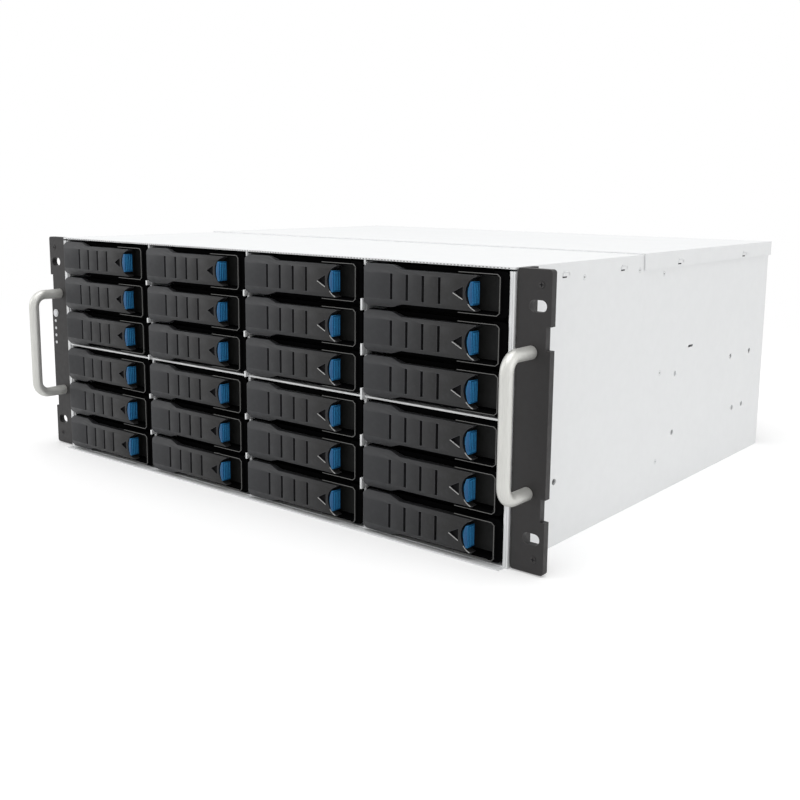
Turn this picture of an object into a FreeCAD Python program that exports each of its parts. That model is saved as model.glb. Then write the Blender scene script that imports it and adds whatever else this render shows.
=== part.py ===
import FreeCAD, Part
import os
import re

import Sketcher
from FreeCAD import Placement, Rotation, Vector

# A 4U disk shelf: a sheet-metal chassis with 24 hot-swap drive trays in front, a fan wall behind
# the backplanes, and two power supplies and an expander canister at the rear. Millimetres.
# +X points to the right seen from the front, +Y into the chassis and +Z up. The origin is the
# middle of the chassis underside at the plane of the front faces of the rack ears.

DIMENSIONS = [
    # Chassis sheet metal
    ("body_width", 436.4, "chassis width over its side walls"),
    ("body_depth", 394.0, "rear face of the side walls"),
    ("front_lip", 1.4, "reach of the sheet edges in front of the ears"),
    ("sheet", 1.2, "steel sheet of the chassis"),
    ("wall_top", 174.0, "top of the side walls"),
    ("wall_flange", 11.0, "width of the flange on top of a side wall"),
    ("flange_start", 9.0, "front end of the flange on top of a side wall"),
    ("notch_back", 3.0, "rear end of the notch in a side wall's front upper corner"),
    ("cover_seam", 158.0, "where the fixed and the sliding cover meet"),
    ("seam_gap", 0.4, "gap between the two covers"),
    ("cover_rise", 0.8, "how much higher the sliding cover lies"),
    ("cover_skirt", 11.4, "height of the sliding cover's side skirt"),
    ("hem_width", 4.0, "width of the folded strip that rests on a side wall"),
    ("skirt_sheet", 0.9, "thickness of the sliding cover's side skirt"),
    ("skirt_gap", 0.2, "air between skirt and side wall"),
    ("cover_tail", 2.8, "reach of the sliding cover behind the side walls"),
    ("cover_travel", 12.0, "slide that frees the cover's hooks"),
    ("hook_mark_length", 8.0, "length of a pressed hook mark"),
    ("hook_mark_height", 2.0, "height of a pressed hook mark"),
    ("hook_mark_rise", 0.5, "how far a hook mark stands proud"),
    ("hook_mark_level", 168.0, "height of the hook marks"),
    # Bays
    ("bay_margin", 3.3, "middle of a side rail from the outside of the side wall"),
    ("column_pitch", "=(body_width - 2 * bay_margin) / 4", "distance from one column divider to the next"),
    ("row_pitch", 28.4, "distance from one tray to the next in a bank"),
    ("bank_gap", 1.35, "air above and below a bank of three trays"),
    ("divider_sheet", 2.0, "thickness of a folded column divider"),
    ("liner_flange", 2.4, "width of the front flange of a side rail"),
    ("groove", 0.2, "groove between side rail and side wall"),
    ("ledge_width", 2.4, "how far a tray ledge stands out"),
    ("ledge_height", 1.0, "thickness of a tray ledge"),
    ("ledge_front", 6.0, "front end of a tray ledge"),
    ("ledge_gap", 0.2, "air between a tray and its ledge"),
    # Tray
    ("bezel_height", 26.2, "height of a tray front"),
    ("bezel_edge", 0.6, "tray front's edge from the divider's middle"),
    ("tray_clear", 0.3, "air between a tray and the divider"),
    ("plate_front", 0.3, "front face of the bezel's base plate"),
    ("plate_sheet", 2.0, "thickness of the bezel's base plate"),
    ("rim_front", 2.4, "how far the bezel's right rim stands forward"),
    ("rim_corner", 3.5, "corner radius of the tray front"),
    ("frame_front", 3.6, "how far the raised frame stands forward"),
    ("frame_left", "=column_pitch - 34.35", "start of the raised frame"),
    ("frame_right", "=column_pitch - 4.0", "end of the raised frame"),
    ("frame_inset", 1.3, "raised frame's edge from the tray's top and bottom"),
    ("frame_wall", 1.1, "wall of the raised frame"),
    ("recess_left", "=column_pitch - 27.45", "start of the finger recess"),
    ("recess_floor", 6.0, "depth of the finger recess"),
    ("recess_skin", 2.0, "wall behind the finger recess"),
    ("channel_floor", 0.4, "air in front of the plate under the lever tip"),
    ("vent_left", 14.0, "first vent window behind the lever"),
    ("vent_width", "=vent_step - 2.5", "width of a vent window"),
    ("vent_step", "=(column_pitch - 54.95) / 3", "distance between vent windows"),
    ("vent_inset", 6.0, "vent window from the tray's top and bottom"),
    ("arm_sheet", 1.6, "thickness of a tray's side arm"),
    ("arm_height", 20.0, "height of a tray's side arm"),
    ("arm_end", 163.0, "rear end of a tray's side arm"),
    ("tray_travel", 160.0, "travel of a tray"),
    ("drive_width", "=column_pitch - 5.85", "width of a drive"),
    ("drive_length", 147.0, "length of a drive"),
    ("drive_height", 26.1, "height of a drive"),
    ("drive_front", 18.2, "front face of a drive"),
    ("stub_near", 16.9, "first side hole behind a drive's front face"),
    ("stub_far", 118.5, "second side hole behind a drive's front face"),
    ("stub_level", 6.35, "side hole above a drive's underside"),
    ("stub_radius", 1.4, "stub on a tray's arm that enters a side hole"),
    ("stub_length", 2.0, "how far a stub enters its side hole"),
    ("stub_clear", 0.2, "air round a stub"),
    # Tray lever
    ("pivot_inset", 5.4, "lever pin from the divider's middle"),
    ("lever_hinge", 3.0, "lever's hinge end from the divider's middle"),
    ("pivot_depth", 3.5, "lever pin in front of the ears' plane"),
    ("lever_front", 7.0, "lever's face in front of the ears' plane"),
    ("lever_back", 1.0, "lever's back in front of the ears' plane"),
    ("lever_full", 12.85, "half height of the lever at its hinge"),
    ("lever_neck", 10.3, "half height of the lever's neck"),
    ("lever_flat", 7.6, "half height of the lever's flat face"),
    ("lever_slope", 2.4, "depth of the lever's sloped flanks"),
    ("lever_tip", "=column_pitch - 19.45", "end of the lever"),
    ("neck_start", 25.0, "where the lever starts to narrow"),
    ("neck_end", 33.2, "where the lever has narrowed"),
    ("neck_curve", 7.0, "radius of the bends in the lever's outline"),
    ("lever_end_curve", 2.9, "rounding of the lever's hinge end"),
    ("lever_corner", 4.0, "corner radius of the lever's hinge end"),
    ("slot_first", 26.3, "first finger slot"),
    ("slot_step", "=(column_pitch - 71.36) / 3", "distance between the finger slots"),
    ("slot_width", 2.0, "width of a finger slot"),
    ("slot_half", 7.85, "half length of a finger slot"),
    ("arrow_tip", "=column_pitch - 34.85", "point of the arrow recess"),
    ("arrow_base", "=column_pitch - 28.05", "base of the arrow recess"),
    ("arrow_half", 3.6, "half height of the arrow recess"),
    ("arrow_depth", 1.6, "depth of the arrow recess"),
    ("bite_radius", 10.2, "radius of the cut in the lever's tip"),
    ("bite_centre", "=column_pitch - 16.25", "middle of the cut in the lever's tip"),
    ("pin_radius", 1.0, "lever pin"),
    ("pin_play", 0.05, "radial play of a pin in its hole"),
    ("pin_half", 10.6, "half length of the lever pin"),
    ("lug_radius", 1.9, "rounding of the lug that holds the pin"),
    ("lug_half", 3.8, "half height of the lug"),
    ("lug_clear", 0.7, "air round the lug inside the lever"),
    # Release button
    ("button_front", 8.0, "button's nose in front of the ears' plane"),
    ("button_back", 0.8, "button's rear face in front of the ears' plane"),
    ("button_face", "=column_pitch - 20.55", "button's thumb face"),
    ("button_left", "=column_pitch - 23.75", "button's rounded back"),
    ("button_radius", 14.0, "radius of the button's rounded back"),
    ("button_half", 6.7, "half height of the button"),
    ("button_travel", 1.5, "travel of the button"),
    ("ridge_first", 1.2, "first grip ridge behind the button's nose"),
    ("ridge_rise", 0.35, "height of a grip ridge"),
    ("ridge_width", 0.7, "width of a grip ridge"),
    ("ridge_step", 1.6, "distance between grip ridges"),
    ("stem_left", "=column_pitch - 30.95", "end of the button's stem"),
    ("stem_half", 2.5, "half height of the stem"),
    ("stem_front", 4.6, "stem's front in front of the ears' plane"),
    ("stem_back", 2.0, "stem's back in front of the ears' plane"),
    ("stem_clear", 0.3, "air round the stem"),
    # Backplanes and boards
    ("board_front", 171.0, "front face of the backplanes"),
    ("board_sheet", 1.6, "thickness of a circuit board"),
    ("board_edge", 0.5, "air round a circuit board"),
    ("socket_width", 42.0, "width of a drive connector"),
    ("socket_height", 6.0, "height of a drive connector"),
    ("socket_gap", 0.3, "air between a drive and its connector"),
    ("socket_level", 3.0, "connector's height above the tray's underside"),
    ("link_width", 60.0, "width of the board connectors between the backplanes"),
    ("link_height", 24.0, "height of the board connectors between the backplanes"),
    ("link_depth", 7.0, "depth of the board connectors between the backplanes"),
    ("bridge_width", 120.0, "width of the board between backplane and midplane"),
    ("bridge_level", 22.0, "height of the board between backplane and midplane"),
    ("midplane_gap", 7.0, "midplane's front face before the rear modules"),
    ("plug_low", 6.0, "underside of a module's plug above the floor"),
    ("plug_height", 10.0, "height of a module's plug"),
    ("plug_inset", 18.0, "plug's edge from the module's side"),
    ("airway_width", 16.0, "width of an air window in a backplane"),
    ("airway_height", 14.0, "height of an air window in a backplane"),
    ("airway_offset", 38.0, "air window from the middle of its bay"),
    # Fan wall
    ("deck_level", 46.0, "underside of the rear deck"),
    ("deck_front", 200.0, "front edge of the rear deck"),
    ("deck_skirt", 10.0, "height of the rear deck's side flange"),
    ("fan_wall", 203.0, "front face of the fan bracket"),
    ("fan_foot", 12.0, "foot of the fan bracket"),
    ("fan_size", 120.0, "width and height of a fan"),
    ("fan_depth", 25.0, "depth of a fan"),
    ("fan_pitch", "=(body_width - 13.4) / 3", "distance between fans"),
    ("fan_bore", 57.5, "radius of a fan's bore"),
    ("fan_tip", 55.5, "radius of a fan rotor"),
    ("fan_hub", 20.0, "radius of a fan's hub"),
    ("hub_depth", 15.0, "depth of a rotor's hub"),
    ("motor_depth", 5.0, "depth of a fan's motor plate"),
    ("strut_width", 5.0, "width of a fan's strut"),
    ("shaft_radius", 2.0, "fan shaft"),
    ("blade_sheet", 1.8, "thickness of a fan blade"),
    ("blade_chord", 23.0, "width of a fan blade"),
    ("blade_pitch", 35.0, "pitch of a fan blade in degrees"),
    # Rear modules
    ("module_gap", 0.3, "air round a sliding module"),
    ("module_height", 42.0, "height of a rear module"),
    ("supply_width", 86.0, "width of a power supply"),
    ("supply_front", 212.0, "inner end of a rear module"),
    ("module_travel", 150.0, "travel of a rear module"),
    ("inlet_left", 28.0, "mains inlet from the supply's left side"),
    ("inlet_width", 28.0, "width of the mains inlet"),
    ("inlet_height", 22.0, "height of the mains inlet"),
    ("inlet_wall", 2.2, "wall of the mains inlet"),
    ("inlet_depth", 15.0, "depth of the mains socket"),
    ("blade_length", 10.0, "length of an inlet pin"),
    ("grip_left", 66.0, "grip from the supply's left side"),
    ("grip_width", 9.0, "width of the grip"),
    ("grip_reach", 17.0, "reach of the grip behind the supply"),
    ("grip_bar", 4.0, "thickness of the grip's bar and legs"),
    ("grip_inset", 5.0, "grip from the supply's top and bottom"),
    ("catch_left", 5.0, "release catch from the supply's left side"),
    ("catch_sheet", 2.5, "thickness of the release catch"),
    ("catch_half", 8.0, "half height of the release catch"),
    ("catch_pivot", 14.0, "catch's pin inside the supply's rear face"),
    ("catch_reach", 10.0, "reach of the catch behind the supply"),
    ("catch_room", 3.6, "room for the catch to swing"),
    ("port_width", 64.0, "width of the row of ports"),
    ("port_height", 9.0, "height of the row of ports"),
    ("port_depth", 12.0, "depth of the row of ports"),
    ("port_left", 22.0, "ports from the canister's left side"),
    ("handle_bar", 5.0, "thickness of the canister's lever"),
    ("handle_half", 5.0, "half height of the canister's lever"),
    ("handle_length", 54.0, "length of the canister's lever"),
    ("handle_inset", 9.0, "lever's pin from the canister's right side"),
    ("handle_stand", 4.2, "lever's pin behind the canister"),
    ("grille_width", 106.0, "width of a slot in the rear grille"),
    ("grille_slot", 20.0, "height of a slot in the rear grille"),
    ("grille_grid", 27.0, "distance between slots in the rear grille"),
    # Rack ears
    ("ear_reach", 23.1, "how far an ear stands out beside the chassis"),
    ("ear_inner", "=body_width / 2 + 0.8", "inner edge of an ear"),
    ("ear_outer", "=body_width / 2 + ear_reach", "outer edge of an ear"),
    ("ear_plate", 4.5, "thickness of an ear"),
    ("ear_low", 0.9, "lower end of an ear"),
    ("ear_high", 175.1, "upper end of an ear"),
    ("ear_corner", 2.0, "corner radius of an ear"),
    ("ear_flange", 19.0, "depth of an ear's side flange"),
    ("flange_sheet", 2.5, "thickness of an ear's side flange"),
    ("notch_depth", 3.0, "depth of an ear's notch"),
    ("notch_height", 13.4, "height of an ear's notch"),
    ("notch_offset", 49.0, "notch from the middle of the ear"),
    ("rack_hole_x", "=ear_outer - 8.75", "rack slot from the chassis middle"),
    ("rack_hole_offset", 66.675, "rack slot from the middle of the ear"),
    ("rack_slot_length", 11.4, "length of a rack slot"),
    ("rack_slot_width", 6.8, "width of a rack slot"),
    ("ear_screw_x", "=ear_outer - 6.7", "small ear screw from the chassis middle"),
    ("ear_screw_offset", 78.6, "small ear screw from the middle of the ear"),
    ("ear_screw_radius", 1.8, "head of a small ear screw"),
    # Front handles
    ("grip_x", "=ear_outer - 12.3", "front handle from the chassis middle"),
    ("grip_radius", 3.9, "radius of the front handle's rod"),
    ("grip_bend", 9.5, "bend radius of the front handle"),
    ("grip_stand", 24.4, "handle bar in front of the ears"),
    ("grip_half", 40.6, "half distance between a handle's legs"),
    ("bolt_radius", 2.0, "handle screw"),
    ("bolt_head", 3.6, "head of a handle screw"),
    ("bolt_head_depth", 2.4, "depth of a handle screw's head"),
    ("bolt_grip", 8.0, "how deep a handle screw goes into its handle"),
    # Controls on the left ear
    ("power_x", "=ear_outer - 5.4", "power button from the chassis middle"),
    ("power_z", 111.6, "height of the power button"),
    ("power_radius", 2.4, "radius of the power button"),
    ("power_ring", 3.2, "radius of the ring round the power button"),
    ("power_rise", 0.8, "how far the power button stands forward"),
    ("power_travel", 0.6, "travel of the power button"),
    ("power_play", 0.15, "air round the power button, the screws and the indicators"),
    ("lamp_x", "=ear_outer - 4.3", "indicators from the chassis middle"),
    ("lamp_first", 105.0, "height of the first indicator"),
    ("lamp_step", 6.03, "distance between indicators"),
    ("lamp_radius", 1.2, "radius of an indicator"),
    ("control_left", "=ear_outer - 0.7", "outer side of the control housing"),
    ("control_right", "=ear_inner + 3.5", "inner side of the control housing"),
    ("control_low", 79.0, "underside of the control housing"),
    ("control_high", 119.0, "top of the control housing"),
    ("control_depth", 10.0, "depth of the control housing"),
    ("control_wall", 1.2, "wall of the control housing"),
    # Side wall features
    ("rail_hole", 2.1, "radius of a rail screw hole"),
    ("cable_slot_y", 242.0, "middle of the slot in the side wall"),
    ("cable_slot_z", 103.7, "height of the slot in the side wall"),
    ("cable_slot_length", 9.0, "length of the slot in the side wall"),
    ("cable_slot_height", 1.8, "height of the slot in the side wall"),
]

ROWS = 6
COLUMNS = 4
BANK_ROWS = 3
LEVER_SLOTS = 4
VENT_WINDOWS = 3
GRIP_RIDGES = 4
FAN_COUNT = 3
FAN_BLADES = 7
GRILLE_SLOTS = 4
LAMP_COUNT = 4
# Rail screw holes in a side wall, as distance behind the front plane and height.
RAIL_HOLES = [(48.5, 41.5), (217.0, 86.0), (322.5, 86.0), (363.3, 86.0),
              (217.0, 42.0), (332.5, 42.0), (353.3, 42.0)]
# Pressed hook marks on the fixed side wall and on the sliding cover's skirt.
WALL_HOOKS = [54.5, 129.0]
COVER_HOOKS = [214.3, 336.3]

document = FreeCAD.newDocument("disk_shelf")
sheet = document.addObject("Spreadsheet::Sheet", "dims")
for line, (alias, number, meaning) in enumerate(DIMENSIONS, start=1):
    sheet.set(f"A{line}", meaning)
    sheet.set(f"B{line}", str(number))
    sheet.setAlias(f"B{line}", alias)
document.recompute()

ALIASES = {alias for alias, number, meaning in DIMENSIONS}
NODES = []


def value(alias):
    """The number in a cell of the sheet, in millimetres."""
    return float(sheet.get(alias))


def linked(text):
    """The expression with each alias as a reference to its cell."""
    return re.sub(r"[a-z_]+", lambda word: "dims." + word[0] if word[0] in ALIASES else word[0], str(text))


def bind(item, target, text):
    """Drive one property of an object by an expression in the sheet's aliases."""
    item.setExpression(target, linked(text))


def node(item, label):
    """Name a finished sub-part; its label is also the name of its file."""
    item.Label = label
    NODES.append(item)
    return item


def block(name, x, y, z):
    """A box between two expressions along each axis."""
    item = document.addObject("Part::Box", name)
    for size, axis, (low, high) in (("Length", "x", x), ("Width", "y", y), ("Height", "z", z)):
        bind(item, size, f"({high}) - ({low})")
        bind(item, f"Placement.Base.{axis}", low)
    return item


ROD_TURNS = {"x": Rotation(Vector(0, 1, 0), 90), "y": Rotation(Vector(1, 0, 0), -90), "z": Rotation()}


def rod(name, axis, radius, centre, span):
    """A cylinder along one axis; centre holds its place along the other two, in X, Y, Z order."""
    item = document.addObject("Part::Cylinder", name)
    item.Placement = Placement(Vector(), ROD_TURNS[axis])
    bind(item, "Radius", radius)
    bind(item, "Height", f"({span[1]}) - ({span[0]})")
    others = [letter for letter in "xyz" if letter != axis]
    for letter, place in zip(others + [axis], list(centre) + [span[0]]):
        bind(item, f"Placement.Base.{letter}", place)
    return item


def fuse(name, *members):
    """One solid from members that overlap or meet."""
    item = document.addObject("Part::MultiFuse", name)
    item.Shapes = list(members)
    item.Refine = True
    return item


def group(name, *members):
    """Separate solids kept together, moved as one."""
    item = document.addObject("Part::Compound", name)
    item.Links = list(members)
    return item


def cut(name, base, *tools):
    """The base less every tool."""
    item = document.addObject("Part::Cut", name)
    item.Base = base
    item.Tool = tools[0] if len(tools) == 1 else fuse(name + "_tools", *tools)
    return item


def common(name, first, second):
    """What two solids share."""
    item = document.addObject("Part::MultiCommon", name)
    item.Shapes = [first, second]
    return item


def mirrored(name, source):
    """The source reflected to the other side of the chassis."""
    item = document.addObject("Part::Mirroring", name)
    item.Source = source
    item.Normal = Vector(1, 0, 0)
    return item


def slotted(name, axis, centre, length, width, span):
    """A rod-ended slot cutter that runs along X and is cut along Y, or along Y and cut along X."""
    across, level = centre
    half_run = f"({length}) / 2 - ({width}) / 2"
    run = (f"{across} - ({half_run})", f"{across} + ({half_run})")
    rise = (f"{level} - ({width}) / 2", f"{level} + ({width}) / 2")
    box = (run, span, rise) if axis == "y" else (span, run, rise)
    middle = block(name + "_middle", *box)
    ends = [rod(f"{name}_end{side}", axis, f"({width}) / 2", (place, level), span)
            for side, place in enumerate(run)]
    return fuse(name, middle, *ends)


# Sketched pieces: a body's sketches lie on its own origin planes, moved along their normal.
PLANES = {"xy": ("XY_Plane", 1), "xz": ("XZ_Plane", -1), "yz": ("YZ_Plane", 1)}


def sketch_on(body, name, plane, level):
    """An empty sketch on one of the body's origin planes, at a level along that plane's axis."""
    role, sign = PLANES[plane]
    sketch = body.newObject("Sketcher::SketchObject", name)
    support = [item for item in body.Origin.OriginFeatures if item.Role == role][0]
    sketch.AttachmentSupport = [(support, "")]
    sketch.MapMode = "FlatFace"
    bind(sketch, "AttachmentOffset.Base.z", f"{sign} * ({level})")
    return sketch


def present(item, text):
    """What an expression gives now."""
    return float(item.evalExpression(linked(text)))


def hold_point(sketch, edge, end, place):
    """Fix a point of a sketch by two distances from the sketch's origin."""
    for kind, coordinate in zip(("DistanceX", "DistanceY"), place):
        distance = present(sketch, coordinate)
        constraint = sketch.addConstraint(Sketcher.Constraint(kind, edge, end, distance))
        bind(sketch, f"Constraints[{constraint}]", coordinate)


def draw_outline(sketch, points):
    """A closed outline of straight lines through the points, each given as two expressions."""
    count = len(points)
    start = sketch.GeometryCount
    places = [Vector(present(sketch, x), present(sketch, y), 0) for x, y in points]
    for turn in range(count):
        sketch.addGeometry(Part.LineSegment(places[turn], places[(turn + 1) % count]), False)
    for turn in range(count):
        following = start + (turn + 1) % count
        sketch.addConstraint(Sketcher.Constraint("Coincident", start + turn, 2, following, 1))
        hold_point(sketch, start + turn, 1, points[turn])


def draw_circle(sketch, centre, radius):
    """A circle with a driven centre and radius."""
    middle = Vector(present(sketch, centre[0]), present(sketch, centre[1]), 0)
    size = present(sketch, radius)
    edge = sketch.addGeometry(Part.Circle(middle, Vector(0, 0, 1), size), False)
    hold_point(sketch, edge, 3, centre)
    constraint = sketch.addConstraint(Sketcher.Constraint("Radius", edge, size))
    bind(sketch, f"Constraints[{constraint}]", radius)


def extrude(body, kind, name, plane, span, outlines, circles=()):
    """A pad or pocket of sketched outlines between two levels along the plane's axis."""
    low, high = span
    sketch = sketch_on(body, name + "_sketch", plane, f"(({low}) + ({high})) / 2")
    for points in outlines:
        draw_outline(sketch, points)
    for centre, radius in circles:
        draw_circle(sketch, centre, radius)
    feature = body.newObject(kind, name)
    feature.Profile = sketch
    feature.SideType = "Symmetric"
    bind(feature, "Length", f"({high}) - ({low})")
    sketch.Visibility = False
    return feature


def rectangle(x, y):
    """The four corners of a rectangle between two expressions each way."""
    return [(x[0], y[0]), (x[1], y[0]), (x[1], y[1]), (x[0], y[1])]


def edges_at(feature, direction, first=None, second=None):
    """Names of the straight edges along a direction, where asked only those at the given places."""
    others = [axis for axis in range(3) if axis != "xyz".index(direction)]
    names = []
    for number, edge in enumerate(feature.Shape.Edges, start=1):
        ends = [edge.Vertexes[0].Point, edge.Vertexes[-1].Point]
        straight = all(abs(ends[0][axis] - ends[1][axis]) < 1e-4 for axis in others)
        placed = first is None or any(abs(ends[0][others[0]] - place) < 1e-3 for place in first)
        level = second is None or any(abs(ends[0][others[1]] - place) < 1e-3 for place in second)
        if straight and placed and level:
            names.append(f"Edge{number}")
    return names


def round_edges(body, name, base, names, radius):
    """A fillet on the named edges of the body's newest feature."""
    fillet = body.newObject("PartDesign::Fillet", name)
    fillet.Base = (base, names)
    bind(fillet, "Radius", radius)
    document.recompute()
    return fillet


# Levels that several pieces share.
HALF_BODY = "body_width / 2"
WALL_INNER = f"({HALF_BODY} - sheet)"
LOWER_BANK = "(sheet + bank_gap)"
SHELF_LOW = f"({LOWER_BANK} + {BANK_ROWS - 1} * row_pitch + bezel_height + bank_gap)"
UPPER_BANK = f"({SHELF_LOW} + sheet + bank_gap)"
HALF_BAYS = f"({COLUMNS} / 2 * column_pitch)"
EAR_MIDDLE = "((ear_low + ear_high) / 2)"
DECK_TOP = "(deck_level + sheet)"
FAN_LEVEL = f"({DECK_TOP} + fan_size / 2)"


def row_base(row):
    """Height of the underside of a tray; row 1 is the top one."""
    below = ROWS - row
    if below < BANK_ROWS:
        return f"({LOWER_BANK} + {below} * row_pitch)"
    return f"({UPPER_BANK} + {below - BANK_ROWS} * row_pitch)"


def column_left(column):
    """The divider's middle at the left side of a column; column 1 is the left one."""
    return f"({column - 1} * column_pitch - {HALF_BAYS})"


def make_chassis_tub():
    """Floor and side walls, folded from one sheet, with flanges under the covers."""
    reach = ("-front_lip", "body_depth")
    floor = block("tub_floor", (f"-{HALF_BODY}", HALF_BODY), reach, ("0", "sheet"))
    pieces = [floor]
    for side, sign in (("left", "-"), ("right", "")):
        outer = f"{sign}{HALF_BODY}"
        inner = f"{sign}{WALL_INNER}"
        lip = f"{sign}({HALF_BODY} - wall_flange)"
        low_high = (outer, inner) if sign else (inner, outer)
        flange = (outer, lip) if sign else (lip, outer)
        pieces.append(block(f"tub_wall_{side}", low_high, reach, ("0", "wall_top")))
        pieces.append(block(f"tub_flange_{side}", flange, ("flange_start", "body_depth"),
                            ("wall_top - sheet", "wall_top")))
        proud = (f"{outer} - hook_mark_rise", outer) if sign else (outer, f"{outer} + hook_mark_rise")
        for number, place in enumerate(WALL_HOOKS):
            pieces.append(block(f"tub_hook_{side}{number}", proud,
                                (f"{place} - hook_mark_length / 2", f"{place} + hook_mark_length / 2"),
                                ("hook_mark_level - hook_mark_height / 2",
                                 "hook_mark_level + hook_mark_height / 2")))
    folded = fuse("tub_folded", *pieces)
    across = (f"-{HALF_BODY} - sheet", f"{HALF_BODY} + sheet")
    holes = [rod(f"rail_hole{number}", "x", "rail_hole", (str(y), str(z)), across)
             for number, (y, z) in enumerate(RAIL_HOLES)]
    slot = slotted("cable_slot", "x", ("cable_slot_y", "cable_slot_z"),
                   "cable_slot_length", "cable_slot_height", across)
    notch = block("tub_notch", across, ("-front_lip - 1", "notch_back"),
                  ("wall_top - sheet", "wall_top + 1"))
    node(cut("tub", folded, group("tub_holes", slot, notch, *holes)), "chassis_tub")


def make_top_covers():
    """The fixed front cover and the rear cover that slides back off its hooks."""
    half = f"({HALF_BODY})"
    front = block("front_cover", (f"-{half}", half), ("-front_lip", "cover_seam - seam_gap"),
                  ("wall_top", "wall_top + sheet"))
    node(front, "front_top_cover")
    top = "wall_top + sheet + cover_rise"
    skirt_outer = f"({HALF_BODY} + skirt_gap + skirt_sheet)"
    skirt_inner = f"({HALF_BODY} + skirt_gap)"
    reach = ("cover_seam", "body_depth + cover_tail")
    sheet = fuse("rear_cover_sheet",
                 block("rear_cover_top", (f"-{skirt_outer}", skirt_outer), reach,
                       ("wall_top + cover_rise", top)),
                 block("rear_cover_tail", (f"-{skirt_outer}", skirt_outer),
                       ("body_depth + cover_tail - sheet", "body_depth + cover_tail"),
                       (f"{top} - cover_skirt", top)))
    strips = []
    for side, sign in (("left", "-"), ("right", "")):
        skirt = sorted_span(sign, skirt_inner, skirt_outer)
        hem = sorted_span(sign, f"({HALF_BODY} - hem_width)", skirt_outer)
        proud = sorted_span(sign, skirt_outer, f"({skirt_outer} + hook_mark_rise)")
        along = ("cover_seam", "body_depth + cover_tail - sheet")
        pieces = [block(f"rear_cover_skirt_{side}", skirt, along,
                        (f"{top} - cover_skirt", "wall_top + cover_rise")),
                  block(f"rear_cover_hem_{side}", hem, along, ("wall_top", "wall_top + cover_rise"))]
        for number, place in enumerate(COVER_HOOKS):
            pieces.append(block(f"rear_cover_hook_{side}{number}", proud,
                                (f"{place} - hook_mark_length / 2", f"{place} + hook_mark_length / 2"),
                                ("hook_mark_level - hook_mark_height / 2",
                                 "hook_mark_level + hook_mark_height / 2")))
        strips.append(fuse(f"rear_cover_strip_{side}", *pieces))
    node(group("rear_cover", sheet, *strips), "rear_top_cover")


def sorted_span(sign, near, far):
    """A span on the left or right side of the chassis, low end first."""
    return (f"-{far}", f"-{near}") if sign == "-" else (near, far)


def make_rear_panel():
    """The rear wall above the modules, with a slotted grille behind each fan."""
    panel = block("rear_wall", (f"-{WALL_INNER}", WALL_INNER), ("body_depth - sheet", "body_depth"),
                  (DECK_TOP, "wall_top - sheet"))
    slots = []
    for fan in range(FAN_COUNT):
        middle = fan_middle(fan)
        for row in range(GRILLE_SLOTS):
            z = f"({FAN_LEVEL} + {row - (GRILLE_SLOTS - 1) / 2} * grille_grid)"
            slots.append(block(f"grille_slot{fan}_{row}",
                               (f"{middle} - grille_width / 2", f"{middle} + grille_width / 2"),
                               ("body_depth - 2 * sheet", "body_depth + sheet"),
                               (f"{z} - grille_slot / 2", f"{z} + grille_slot / 2")))
    node(cut("rear_grille", panel, group("grille_slots", *slots)), "rear_panel")


def make_cage():
    """Mid shelf, column dividers and side rails that carry the trays."""
    shelf = block("shelf", (f"-{HALF_BAYS} + divider_sheet / 2", f"{HALF_BAYS} - divider_sheet / 2"),
                  ("-front_lip", "board_front"), (SHELF_LOW, f"{SHELF_LOW} + sheet"))
    laps = []
    for column in range(1, COLUMNS):
        middle = column_left(column + 1)
        wall = (f"{middle} - divider_sheet / 2", f"{middle} + divider_sheet / 2")
        laps.append(block(f"shelf_lap{column}", wall, ("board_front / 2", "board_front + 1"),
                          (f"{SHELF_LOW} - 1", f"{SHELF_LOW} + sheet + 1")))
        plate = block(f"divider_plate{column}", wall, ("0", "board_front"), ("sheet", "wall_top - sheet"))
        lap = block(f"divider_lap{column}", (f"{wall[0]} - 1", f"{wall[1]} + 1"),
                    ("-front_lip", "board_front / 2"), (SHELF_LOW, f"{SHELF_LOW} + sheet"))
        ledges = [ledge(column, row, side) for row in range(1, ROWS + 1) for side in ("left", "right")]
        divider = fuse(f"divider{column}", cut(f"divider_cut{column}", plate, lap), *ledges)
        node(divider, ("column_divider_left", "column_divider_center", "column_divider_right")[column - 1])
    node(cut("shelf_slotted", shelf, group("shelf_laps", *laps)), "mid_shelf")
    inner = f"{HALF_BAYS} - divider_sheet / 2"
    outer = f"{WALL_INNER} - groove"
    plate = block("rail_plate", (inner, f"{inner} + sheet"), ("0", "board_front"),
                  ("sheet", "wall_top - sheet"))
    flange = block("rail_flange", (f"{outer} - liner_flange + sheet / 2", outer),
                   ("-front_lip", "0"), ("sheet", "wall_top - sheet"))
    tie = block("rail_tie", (inner, outer), ("0", "sheet"), ("sheet", "wall_top - sheet"))
    foot = block("rail_foot", (inner, WALL_INNER),
                 ("sheet", "board_front"), ("sheet", "sheet + sheet"))
    ledges = [ledge(COLUMNS, row, "left") for row in range(1, ROWS + 1)]
    right = fuse("rail_right", plate, flange, tie, foot, *ledges)
    node(group("side_rails", mirrored("rail_left", right), right), "tray_side_rails")


def ledge(divider, row, side):
    """A tray ledge on the left or right face of a divider; the last divider is the side rail."""
    middle = column_left(divider + 1)
    face = f"{middle} - divider_sheet / 2" if side == "left" else f"{middle} + divider_sheet / 2"
    x = (f"{face} - ledge_width", face) if side == "left" else (face, f"{face} + ledge_width")
    top = f"{row_base(row)} - ledge_gap"
    return block(f"ledge{divider}_{row}_{side}", x, ("ledge_front", "board_front"),
                 (f"{top} - ledge_height", top))


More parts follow.
